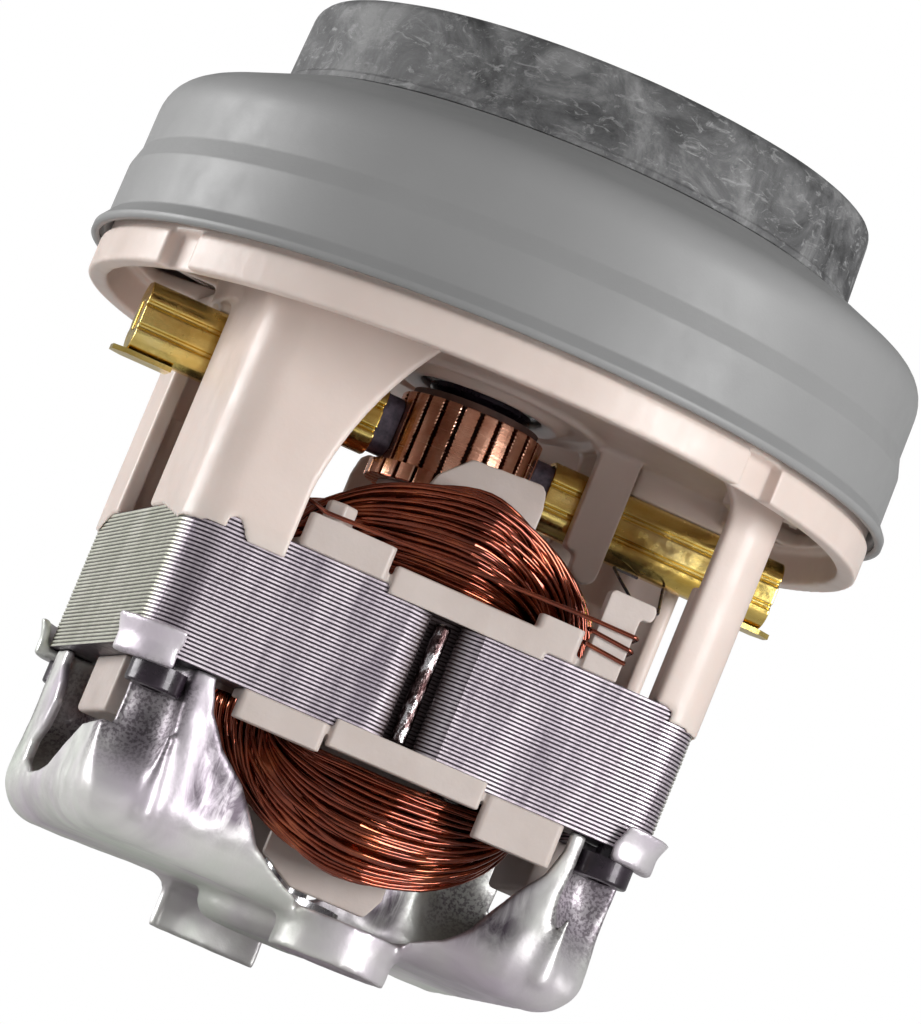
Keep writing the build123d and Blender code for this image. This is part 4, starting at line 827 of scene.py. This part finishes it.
def tub_field():
    """Outside of the bracket before anything is pressed into it."""
    plan = [
        (-half_x, -half_y), (-lobe_x, -half_y), (coil_left, -coil_y), (coil_right, -coil_y),
        (lobe_x, -half_y), (half_x, -half_y),
    ]
    plan += [(-x, -y) for x, y in plan]
    past_x = np.abs(bx) - half_x + corner_round
    past_y = np.abs(by) - half_y + corner_round
    square = np.hypot(np.maximum(past_x, 0), np.maximum(past_y, 0)) - corner_round
    side = np.maximum(soft_max(polygon_field(plan, bx, by), square, 3.0), square)
    return rounded_corner(side, floor_low - bz, floor_bend)


def volume(field):
    """Space inside a field, in cubic centimetres."""
    return round(float((field < 0).sum()) * bracket_cell ** 3 / 1000, 1)


tub = tub_field()
print("tub encloses", volume(tub), "cm3")

# %% [markdown]
# A screwdriver has to reach each clamp screw from below, so every lobe has a channel: a half-round groove
# whose axis passes through the screw and leans outwards as it goes down, getting wider. It is pressed into
# the tub by cutting a leaning cylinder away with a soft edge. Two of them, on one diagonal, face more to
# front and rear.

# %% Bracket: screwdriver channels
screw_x, screw_y = 36.3, 33.7
corner_signs = ((-1, -1), (1, -1), (-1, 1), (1, 1))


def channel_field(sign_x, sign_y):
    """Space that one screwdriver needs, open towards the outside."""
    slant = radians(70 if sign_x == sign_y else 52)
    out_x, out_y = sign_x * cos(slant), sign_y * sin(slant)
    lean = 11.0 * (1 - ease(bz, 9.0, 27.5))
    wide = 4.7 + 2.4 * (1 - ease(bz, 12.0, 30.0))
    from_x, from_y = bx - sign_x * screw_x, by - sign_y * screw_y
    along = from_x * out_x + from_y * out_y - lean
    across = from_y * out_x - from_x * out_y
    return np.where(along < 0, np.hypot(along, across), np.abs(across) - along * 0.30) - wide


for corner in corner_signs:
    tub = soft_max(tub, -channel_field(*corner), 2.2)
print("channels", len(corner_signs), "tub now encloses", volume(tub), "cm3")

# %% [markdown]
# Beside the channels the sheet has shallow dents, and each lobe one raised pleat, where spare metal was
# folded as the lobe was drawn. Each is a short rod with round ends, cut away for a dent and joined on for a
# pleat. The sheet itself is then the layer between the tub's surface and one sheet inwards.

# %% Bracket: dents and pleats
dents = [
    ((-21.5, -38.4, 17.5), (-27.2, -38.4, 28.0), 3.4, 1.5),
    ((26.0, -38.4, 20.0), (28.4, -38.4, 28.0), 2.6, 1.2),
    ((-16.5, -38.6, 14.0), (-20.0, -38.6, 18.5), 2.6, 2.2),
]
pleats = [((-31.7, -36.7, 23.4), (-31.0, -36.2, 12.2)), ((33.5, -36.7, 22.0), (33.0, -36.2, 12.5))]
for start, end, first, last in dents:
    for sign in (1, -1):
        tub = soft_max(tub, -rod_field(bx * sign, by * sign, bz, start, end, first, last), 2.0)
for start, end in pleats:
    for sign in (1, -1):
        tub = soft_min(tub, rod_field(bx * sign, by * sign, bz, start, end, 0.35, 1.25), 1.6)
shell = np.maximum(tub, -(tub + sheet))
print("dents", 2 * len(dents), "pleats", 2 * len(pleats), "sheet", sheet, "mm")

# %% [markdown]
# The press also cuts windows out of the walls. Their edges are the photographed ones: at the front a long
# curve down from each lobe to a tongue under the coil, and at the side a sill that steps down towards the
# rear. The walls end at one height under the stack.

# %% Bracket: windows
front_line = [
    (-29.0, 48.0), (-28.3, 33.6), (-26.9, 29.6), (-23.2, 25.0), (-18.3, 21.4), (-15.0, 17.6), (-12.6, 14.4),
    (-8.0, 11.8), (-3.2, 9.9), (-2.4, 5.0), (14.5, 5.0), (15.0, 10.6), (19.0, 12.6), (21.4, 15.4),
    (23.4, 19.6), (25.6, 23.6), (28.0, 27.0), (29.2, 31.0), (29.2, 48.0),
]
side_line = [
    (-33.6, 48.0), (-33.4, 27.4), (-32.6, 24.4), (-30.5, 22.9), (-16.5, 22.2), (-9.0, 19.0), (-2.0, 15.6),
    (4.0, 14.5), (12.0, 14.2), (20.0, 16.2), (20.4, 19.0), (16.4, 21.5), (14.6, 26.0), (16.6, 29.2),
    (21.0, 32.0), (22.0, 48.0),
]
front_depth, side_depth, wall_top = 20.6, 38.6, 34.2
for sign in (1, -1):
    window = np.maximum(polygon_field(front_line, bx * sign, bz), by * sign + front_depth)
    shell = soft_max(shell, -window, 0.7)
    window = np.maximum(polygon_field(side_line, by * sign, bz), bx * sign + side_depth)
    shell = soft_max(shell, -window, 0.7)
shell = np.maximum(shell, bz - wall_top)
print("window lines", len(front_line), "and", len(side_line), "points")

# %% [markdown]
# Three forms hang under the floor: a collar round a hole beside the shaft, the cup that holds the lower
# bearing, open at the top, and a low curved wall behind it that stiffens the floor. All are turned shapes,
# so a distance from an axis and a height describe them.

# %% Bracket: collar, cup and stiffening wall
collar_x, collar_y, collar_inner, collar_outer = 6.2, -19.6, 7.75, 8.45
cup_outer, cup_inner, cup_floor, cup_bend = 11.25, 9.6, 3.62, 2.8
wall_radius, wall_bearing, wall_half_angle = 23.15, 100.0, 23.5

ring = np.hypot(bx - collar_x, by - collar_y)
collar = np.maximum(np.abs(ring - collar_outer) - 0.72, np.abs(bz - 6.2) - 3.25)
shell = soft_min(shell, collar, 2.0)
shell = soft_max(shell, np.minimum(collar_inner - ring, 20 - bz), 0.5)

far = np.hypot(bx, by)
cup = np.maximum(rounded_corner(far - cup_outer, cup_floor - bz, cup_bend), bz - 9.3)
shell = soft_min(shell, cup, 1.6)
shell = soft_max(shell, -np.maximum(far - cup_inner, cup_floor + 1.7 - bz), 0.4)

bearing = np.degrees(np.arctan2(by, bx))
swing = (np.abs(bearing - wall_bearing) - wall_half_angle) * far * (pi / 180)
upright = np.maximum(0.06 - bz, bz - 9.2)
wall = np.maximum(np.maximum(np.abs(far - wall_radius) - 0.8, swing), upright)
shell = soft_min(shell, wall, 2.6)
print("collar, cup and wall at", collar_outer, cup_outer, wall_radius, "mm from their axes")

# %% [markdown]
# Each lobe ends in a lip that wraps the corner of the stack: a flat seat with the screw's hole, and an
# upright arc that flares outwards. The ends of the arc are ragged, so a slow sine makes them uneven.

# %% Bracket: corner lips
lip_x, lip_y, lip_radius, lip_sweep = 35.9, 31.6, 6.95, 47


def lip_field(sign_x, sign_y):
    """Seat and flared arc at one corner of the stack."""
    from_x, from_y = bx - sign_x * lip_x, by - sign_y * lip_y
    reach = np.hypot(from_x, from_y)
    spread = np.abs(np.degrees(np.arctan2(from_y * sign_y, from_x * sign_x)) - 45.0)
    flare = 1.25 * np.clip((bz - wall_top) / 4.1, 0, 1) ** 1.5
    arc = np.maximum(np.abs(reach - lip_radius - flare) - 0.72, np.maximum(32.8 - bz, bz - 38.1))
    arc = np.maximum(arc, (spread - lip_sweep - 3.0 * np.sin(bz * 1.1 + sign_x)) * 0.12)
    seat = np.maximum(reach - 7.4, np.abs(bz - 33.4) - 0.75)
    seat = np.maximum(seat, (spread - lip_sweep) * 0.12)
    seat = np.maximum(seat, 2.2 - np.hypot(bx - sign_x * screw_x, by - sign_y * screw_y))
    return soft_min(arc, seat, 1.2)


for corner in corner_signs:
    shell = soft_min(shell, lip_field(*corner), 0.8)
print("bracket metal", volume(shell), "cm3")

# %% [markdown]
# A field becomes a mesh by walking its cells. In each cell that the surface crosses, one vertex is put at
# the middle of the crossings on the cell's edges, and each crossed edge between four cells gives one quad.
# Blender has modifiers for this too, but they need a closed mesh to start from.

# %% Walk the bracket's surface
def walk_surface(field, origin, cell):
    """Vertices and quads of a field's zero surface, one vertex in each cell that it crosses."""
    inside = field < 0
    shape = [size - 1 for size in field.shape]
    count = np.zeros(shape)
    total = [np.zeros(shape) for _ in range(3)]
    corners = [(i, j, k) for i in (0, 1) for j in (0, 1) for k in (0, 1)]
    for a in corners:
        for axis in range(3):
            if a[axis]:
                continue
            b = tuple(1 if index == axis else value for index, value in enumerate(a))
            first = field[tuple(slice(p, p + s) for p, s in zip(a, shape))]
            last = field[tuple(slice(p, p + s) for p, s in zip(b, shape))]
            crossed = (first < 0) != (last < 0)
            t = np.where(crossed, first / np.where(crossed, first - last, 1), 0)
            count += crossed
            for index in range(3):
                total[index] += crossed * (a[index] + (t if index == axis else 0))
    held = count > 0
    number = np.full(shape, -1)
    number[held] = np.arange(held.sum())
    places = np.argwhere(held)
    spots = [(places[:, i] + total[i][held] / count[held]) * cell + origin[i] for i in range(3)]
    return np.stack(spots, 1), np.concatenate([cell_quads(inside, number, axis) for axis in range(3)])


def cell_quads(inside, number, axis):
    """Quads across the grid's edges along one axis, each joining the four cells round its edge."""
    one, two = [index for index in range(3) if index != axis]
    low = [slice(None)] * 3
    high = [slice(None)] * 3
    low[axis] = slice(0, -1)
    high[axis] = slice(1, None)
    inner = [slice(1, -1)] * 3
    inner[axis] = slice(None)
    change = (inside[tuple(low)].astype(int) - inside[tuple(high)].astype(int))[tuple(inner)]
    edges = np.argwhere(change != 0)
    signs = change[change != 0]
    edges[:, [one, two]] += 1
    ring = []
    for first, last in ((0, 0), (1, 0), (1, 1), (0, 1)):
        step = edges.copy()
        step[:, one] -= first
        step[:, two] -= last
        ring.append(number[step[:, 0], step[:, 1], step[:, 2]])
    quads = np.stack(ring, 1)
    turned_over = (signs < 0) != (axis == 1)
    quads[turned_over] = quads[turned_over][:, ::-1]
    return quads


spots, quads = walk_surface(shell, bracket_low, bracket_cell)
print("bracket", len(spots), "vertices", len(quads), "quads")

# %% [markdown]
# Sheet is never quite true after pressing, so slow noise moves the surface by a tenth of a millimetre.
# Three passes of smoothing then take out the steps that the cells leave in the light.

# %% Bracket pressing
noisy = []
for x, y, z in spots:
    spot = Vector((x, y, z))
    shift = noise.noise_vector(spot * 0.13) * 0.10 + noise.noise_vector(spot * 0.45) * 0.07
    noisy.append((x + shift.x, y + shift.y, max(z + shift.z, 0.02)))
pressed = add_piece("bracket_pressing", noisy, [tuple(quad) for quad in quads.tolist()], "bottom_bracket")
even = bmesh.new()
even.from_mesh(pressed.data)
every_axis = {"use_axis_x": True, "use_axis_y": True, "use_axis_z": True}
for _ in range(3):
    bmesh.ops.smooth_vert(even, verts=even.verts, factor=0.4, **every_axis)
even.to_mesh(pressed.data)
even.free()
print("bracket sides", [round(side / MM, 2) for side in pressed.dimensions], "mm")

# %% [markdown]
# The stack is a pile of punched plates, each a good half millimetre thick. Their shared outline is cut from
# the CAD solid at half height: a plane through the mesh leaves edges, which are followed into closed loops,
# the widest one outside and the rest as holes.

# %% Outline of the plates
def follow_loops(cut):
    """Closed loops of vertices along the edges that a cut has left."""
    loops = []
    left = set(cut.edges)
    while left:
        edge = left.pop()
        first, spot = edge.verts
        loop = [first, spot]
        while True:
            following = [e for e in spot.link_edges if e in left]
            if not following:
                break
            left.discard(following[0])
            spot = following[0].other_vert(spot)
            if spot is first:
                break
            loop.append(spot)
        loops.append([(v.co.x / MM, v.co.y / MM) for v in loop])
    return loops


def section_loops(node, height):
    """Closed (x, y) outlines of a CAD node at a height in millimetres, material on the left."""
    cut = bmesh.new()
    cut.from_mesh(frame["nodes"][node].data)
    bmesh.ops.remove_doubles(cut, verts=cut.verts, dist=1e-6)
    bmesh.ops.bisect_plane(
        cut, geom=cut.verts[:] + cut.edges[:] + cut.faces[:], dist=1e-7,
        plane_co=(0, 0, height * MM), plane_no=(0, 0, 1), clear_inner=True, clear_outer=True,
    )
    loops = follow_loops(cut)
    cut.free()
    areas = []
    for loop in loops:
        pairs = zip(loop, loop[1:] + loop[:1])
        areas.append(sum(a[0] * b[1] - a[1] * b[0] for a, b in pairs) / 2)
    widest = max(range(len(loops)), key=lambda index: abs(areas[index]))
    for index, area in enumerate(areas):
        if (area < 0) == (index == widest):
            loops[index].reverse()
    return loops


def outward(loop):
    """Unit direction away from the material at each point of a loop."""
    directions = []
    for index, point in enumerate(loop):
        before = Vector(point) - Vector(loop[index - 1])
        after = Vector(loop[(index + 1) % len(loop)]) - Vector(point)
        along = before.normalized() + after.normalized()
        along = along.normalized() if along.length > 1e-6 else after.normalized()
        directions.append((along.y, -along.x))
    return directions


print("stack outline loops", len(section_loops("stator_stack", (stack_low + stack_high) / 2)))

# %% [markdown]
# Each plate repeats the outline with a small shift inwards of its own, because no pile is quite even, and a
# narrow groove parts it from the next. Plates that were separate boxes would hide faces inside the pile, so
# the pile is one closed mesh: rows of the outline up its height, and a lid at both ends.

# %% Lamination plates
def plates(name, node, low, high, count, groove, seed):
    """A pile of punched plates with the node's outline, as one closed mesh."""
    loops = section_loops(node, (low + high) / 2)
    chance = random.Random(seed)
    pitch = (high - low) / count
    rows = []
    for plate in range(count):
        base = low + plate * pitch
        back = chance.uniform(0.01, 0.06)
        rows += [(base + pitch * 0.12, groove), (base + pitch * 0.26, back)]
        rows += [(base + pitch * 0.74, back), (base + pitch * 0.88, groove)]
    rows[0] = (low, rows[1][1])
    rows[-1] = (high, rows[-2][1])
    vertices = []
    faces = []
    rims = []
    for loop in loops:
        directions = outward(loop)
        start = len(vertices)
        for height, inset in rows:
            for (x, y), (dx, dy) in zip(loop, directions):
                vertices.append((x - dx * inset, y - dy * inset, height))
        faces += strip_faces(len(rows), len(loop), start, False, True)
        rims.append((start, start + (len(rows) - 1) * len(loop), len(loop)))
    close_pile(add_piece(name, vertices, faces, node, False), rims)


def close_pile(pile, rims):
    """Fills the lowest and the highest rims of a pile, round its holes."""
    lids = bmesh.new()
    lids.from_mesh(pile.data)
    lids.verts.ensure_lookup_table()
    for which in (0, 1):
        edges = []
        for rim in rims:
            ring = [lids.verts[rim[which] + step] for step in range(rim[2])]
            edges += [lids.edges.get((a, b)) for a, b in zip(ring, ring[1:] + ring[:1])]
        bmesh.ops.triangle_fill(lids, edges=[edge for edge in edges if edge], use_beauty=True)
    bmesh.ops.recalc_face_normals(lids, faces=lids.faces)
    lids.to_mesh(pile.data)
    lids.free()


plates("stack_plates", "stator_stack", stack_low, stack_high, plate_count, 0.22, 3)
plates("armature_plates", "armature_core", core_low, core_high, plate_count, 0.16, 4)
print("plate pitch", round((stack_high - stack_low) / plate_count, 3), "mm")

# %% [markdown]
# All windings need round wire. A wire is a small polygon carried along a line of points, and it mustn't
# twist on the way. An open wire carries its last direction on. A closed one, which has to meet itself,
# takes its direction from one fixed axis that it never runs along.

# %% Wire
def wire(points, radius, sides=8, closed=False, across=None):
    """Vertices and faces of a round wire along points. Closed wires take a fixed direction to start from."""
    spots = [Vector(point) for point in points]
    count = len(spots)
    vertices = []
    normal = None
    for index, spot in enumerate(spots):
        before = spots[index - 1] if closed or index else spot
        after = spots[(index + 1) % count] if closed or index < count - 1 else spot
        along = (after - before).normalized()
        if across is not None:
            normal = along.cross(across).normalized()
        elif normal is None:
            normal = along.orthogonal().normalized()
        else:
            normal = (normal - along * normal.dot(along)).normalized()
        other = along.cross(normal)
        for side in range(sides):
            angle = 2 * pi * side / sides
            vertices.append(tuple(spot + (normal * cos(angle) + other * sin(angle)) * radius))
    faces = strip_faces(count, sides, 0, closed, True)
    if not closed:
        faces.append(tuple(range(sides))[::-1])
        faces.append(tuple((count - 1) * sides + side for side in range(sides)))
    return vertices, faces


def gather(parts):
    """Joins several (vertices, faces) pairs into one."""
    vertices = []
    faces = []
    for some_vertices, some_faces in parts:
        start = len(vertices)
        vertices += some_vertices
        faces += [tuple(start + index for index in face) for face in some_faces]
    return vertices, faces


print("a straight wire has", len(wire([(0, 0, 0), (10, 0, 0)], 0.3)[0]), "vertices")

# %% [markdown]
# A field coil is one long wire wound round its pole. Seen from the front it is a lens: the turns lie side
# by side in the slots and spread out over the head, and each crosses a few of its neighbours. The bundle's
# cross-section is an oval at six places round the pole, four at the slots' ends and two at the heads. A
# turn is a closed curve through all six, and where it lies in the bundle is an angle on each oval.

# %% One turn of a coil
slot_oval = (4.1, 2.6)
head_oval = (6.6, 4.0)
slot_x, slot_y, head_y = 20.4, -24.6, -30.2
slot_ends = (33.1, 57.7)
head_heights = (22.8, 67.4)
up_z = Vector((0, 0, 1))
to_right = Vector((1, 0, 0))
coil_ovals = [
    (Vector((slot_x, slot_y, slot_ends[0])), up_z, to_right, slot_oval),
    (Vector((slot_x, slot_y, slot_ends[1])), up_z, to_right, slot_oval),
    (Vector((0, head_y, head_heights[1])), -to_right, up_z, head_oval),
    (Vector((-slot_x, slot_y, slot_ends[1])), -up_z, -to_right, slot_oval),
    (Vector((-slot_x, slot_y, slot_ends[0])), -up_z, -to_right, slot_oval),
    (Vector((0, head_y, head_heights[0])), to_right, -up_z, head_oval),
]


def flow(start, start_pull, end, end_pull, t):
    """Point on the smooth curve between two points with a pull at each."""
    a = 2 * t ** 3 - 3 * t ** 2 + 1
    b = t ** 3 - 2 * t ** 2 + t
    c = -2 * t ** 3 + 3 * t ** 2
    d = t ** 3 - t ** 2
    return start * a + start_pull * b + end * c + end_pull * d


def turn_points(angles, grows, chance):
    """Closed turn round the pole through the ovals, at an angle and growth on each."""
    phase = chance.uniform(0, 100)
    spots = []
    for (place, heading, side, halves), angle, grow in zip(coil_ovals, angles, grows):
        out = (halves[0] + grow) * sin(radians(angle))
        back_by = (halves[1] + grow) * cos(radians(angle))
        spots.append((place + side * out + Vector((0, back_by, 0)), heading))
    points = []
    for index, (spot, heading) in enumerate(spots):
        following, next_heading = spots[(index + 1) % len(spots)]
        span = following - spot
        if heading == next_heading:
            steps = 4
            pulls = (span, span)
        else:
            steps = 15
            pulls = [way * abs(span.dot(way)) * 1.62 for way in (heading, next_heading)]
        for step in range(steps):
            spot_now = flow(spot, pulls[0], following, pulls[1], step / steps)
            shake = noise.noise_vector(spot_now * 0.16 + Vector((phase, 0, 0))) * 0.22
            points.append(spot_now + shake)
    return points


sample = turn_points([0] * 6, [0] * 6, random.Random(1))
print("points in a turn", len(sample), "top of the coil", round(max(point.z for point in sample), 1))

# %% [markdown]
# The turns come in three layers. The lowest is close and even and fills the bundle. Each layer above has
# fewer turns, wanders more, and is twisted further round the bundle between slot and head, so its wires
# cross the ones below at a slant, as the loose outer wires do in the photograph. All of it comes from
# seeded chance. A layer says how far outside the ovals it lies, its share of the turns, how much it wanders
# and twists in degrees, and its wire's radius. The rear coil has its own seed and is turned half round the
# shaft.

# %% Field coils
oval_swings = (-1, 1.15, 0, -1.15, 1, 0)
coil_layers = [
    {"grow": 0.35, "share": 0.62, "wander": 3.0, "twist": 35.0, "radius": 0.36},
    {"grow": 1.00, "share": 0.42, "wander": 5.0, "twist": 85.0, "radius": 0.35},
    {"grow": 1.38, "share": 0.26, "wander": 9.0, "twist": 105.0, "radius": 0.34},
]
turn_count = 60


def coil_turns(seed):
    """All turns of a coil, layer by layer."""
    chance = random.Random(seed)
    parts = []
    for layer in coil_layers:
        count = int(turn_count * layer["share"])
        for index in range(count):
            base = 360 * index / count + chance.uniform(-2, 2)
            bend = layer["twist"] + chance.gauss(0, 0.25) * layer["twist"]
            wander = layer["wander"]
            angles = [base + swing * bend + chance.uniform(-0.4, 0.4) * wander for swing in oval_swings]
            for head in (2, 5):
                angles[head] += chance.gauss(0, 0.6) * wander
            grows = [layer["grow"] + chance.uniform(-0.12, 0.12) for _ in coil_ovals]
            points = turn_points(angles, grows, chance)
            parts.append(wire(points, layer["radius"], 7, True, Vector((0, 1, 0))))
    return gather(parts)


def half_round(vertices):
    """The same vertices turned half round the shaft."""
    return [(-x, -y, z) for x, y, z in vertices]


front_vertices, front_faces = coil_turns(11)
rear_vertices, rear_faces = coil_turns(12)
add_piece("front_coil_turns", front_vertices, front_faces, "front_coil_wire")
add_piece("rear_coil_turns", half_round(rear_vertices), rear_faces, "rear_coil_wire")
print("turns in a coil", sum(int(turn_count * layer["share"]) for layer in coil_layers))

# %% [markdown]
# Commutator bars are drawn copper with a riser below, where the armature's wires are fixed. The mica
# between them is cut back, and the cutter leaves a row of small nicks along each bar's edge, which show as
# dark serrated lines. A bar is a column of rows: every second row is narrower by a chance amount, and that
# makes the nicks.

# %% Commutator
bar_count = 24
bar_reach, riser_reach, bar_root = 11.47, 12.55, 7.6
riser_high = bars_low + 2.6
half_pitch, half_gap, edge_round = 1.505, 0.275, 0.15
nick_chance = random.Random(21)


def bar_heights():
    """Heights of a bar's rows: close at the riser's top, then one every 0.28 mm."""
    heights = [bars_low, bars_low + edge_round, riser_high - 0.2, riser_high, riser_high + 0.25]
    height = riser_high + 0.5
    while height < bars_high - 0.3:
        heights.append(height)
        height += 0.28
    return heights + [bars_high - edge_round, bars_high]


def bar_shell(middle):
    """One bar with nicked edges: a curved face, two flanks and both ends."""
    rows = []
    heights = bar_heights()
    for index, height in enumerate(heights):
        riser = height <= riser_high
        radius = riser_reach if riser else bar_reach
        if index in (0, len(heights) - 1):
            radius -= edge_round
        nick = 0.0 if riser else (0.16 if index % 2 else 0.0) * nick_chance.uniform(0.4, 1.3)
        half = degrees((half_pitch - half_gap - nick) / 11.5)
        half_back = degrees(1.0 / 11.5)
        row = []
        for share in (-1, -0.86, -0.3, 0.3, 0.86, 1):
            reach = radius - (0.12 if abs(share) == 1 else 0.0)
            angle = radians(middle + half * share)
            row.append((reach * cos(angle), reach * sin(angle), height))
        for share in (1, -1):
            angle = radians(middle + half_back * share)
            row.append((bar_root * cos(angle), bar_root * sin(angle), height))
        rows.append(row)
    vertices = [point for row in rows for point in row]
    faces = strip_faces(len(rows), 8, 0, False, True)
    last = (len(rows) - 1) * 8
    faces.append(tuple(range(8))[::-1])
    faces.append(tuple(last + step for step in range(8)))
    return vertices, faces


bars = gather([bar_shell(index * 360 / bar_count) for index in range(bar_count)])
add_piece("commutator_segments", *bars, "commutator_bars", False)
print("rows in a bar", len(bar_heights()))

# %% [markdown]
# The armature's heads are wires laid from slot to slot over each other, tied by resin. A softened core
# fills them, and bent wires lie over it as chords between slots five apart. Each layer lies higher and a
# little further in than the one before, and every chord dips towards the shaft half way.

# %% Armature winding
softened("winding_heads", "armature_winding", 0.4 * coarse, 4)
wire_chance = random.Random(31)
slot_count, chord_layers, chord_sweep = 12, 5, 150
chords = []
for slot_index in range(slot_count):
    for layer in range(chord_layers):
        start = radians(slot_index * 360 / slot_count + wire_chance.uniform(-4, 4))
        end = start + radians(chord_sweep)
        lift = 1.2 + layer * 2.1 + wire_chance.uniform(-0.4, 0.4)
        reach = 17.6 - layer * 0.9
        for level, sign in ((core_high + 0.1, 1), (core_low - 0.1, -1)):
            path = []
            for step in range(19):
                t = step / 18
                angle = start + (end - start) * t
                bow = sin(pi * t)
                radius = reach - 5.6 * bow ** 2.2
                height = level + sign * (0.4 + lift * min(1, bow * 1.9))
                path.append((radius * cos(angle), radius * sin(angle), height))
            chords.append(wire(path, 0.32, 6))
add_piece("winding_wires", *gather(chords), "armature_winding")
print("chords", len(chords))

# %% [markdown]
# Each brush spring is a coil of thin steel wire in its tube, whose closed end holds the anchor. It
# shortens as the brush is pushed back, but its mesh here keeps its length: each spring only gets a mesh of
# its own.

# %% Brush springs
def spring_points(low, high, radius, curls, level):
    """Centre line of a coil spring along X."""
    steps = curls * 16
    points = []
    for step in range(steps + 1):
        t = step / steps
        angle = 2 * pi * curls * t
        points.append((low + (high - low) * t, radius * sin(angle), level + radius * cos(angle)))
    return points


brush_level, tube_end = 83.0, 53.2
spring_line = spring_points(tube_end - 24.3, tube_end - 0.3, 2.3, 9, brush_level)
spring_vertices, spring_faces = wire(spring_line, 0.25, 8)
right_spring = add_piece("right_spring_coil", spring_vertices, spring_faces, "right_brush_spring")
left_spring = add_piece("left_spring_coil", half_round(spring_vertices), spring_faces, "left_brush_spring")
for spring, joint, sign in ((right_spring, "right_brush_slide", 1), (left_spring, "left_brush_slide", -1)):
    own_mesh(spring)
print("springs", len(spring_line), "points each")

# %% [markdown]
# A plain pale floor lies under the motor. The photograph looks from below the floor's level, so the floor
# lets rays through from its underside and is only seen from above, where it takes the motor's shadow.

# %% Floor
mesh = bpy.data.meshes.new("floor")
reach = 1.2
floor_level = cad_box[0][2] - 0.0005
corners = [(-reach, -reach), (reach, -reach), (reach, reach), (-reach, reach)]
mesh.from_pydata([(x, y, floor_level) for x, y in corners], [], [(0, 1, 2, 3)])
ground = bpy.data.objects.new("floor", mesh)
bpy.context.scene.collection.objects.link(ground)
material = bpy.data.materials.new("floor_pale")
material.use_nodes = True
tree = Shade(material.node_tree)
under = tree.add("ShaderNodeNewGeometry").out("Backfacing")
pale = tree.add("ShaderNodeBsdfDiffuse", {}, {"Color": (0.86, 0.86, 0.86, 1)}).out()
clear = tree.add("ShaderNodeBsdfTransparent").out()
surface = tree.add("ShaderNodeMixShader", {}, {0: under, 1: pale, 2: clear})
tree.add("ShaderNodeOutputMaterial", {}, {"Surface": surface.out()})
mesh.materials.append(material)
print("floor at", round(floor_level / MM, 2), "mm")

# %% [markdown]
# The finished model has to stay within the CAD part's box.
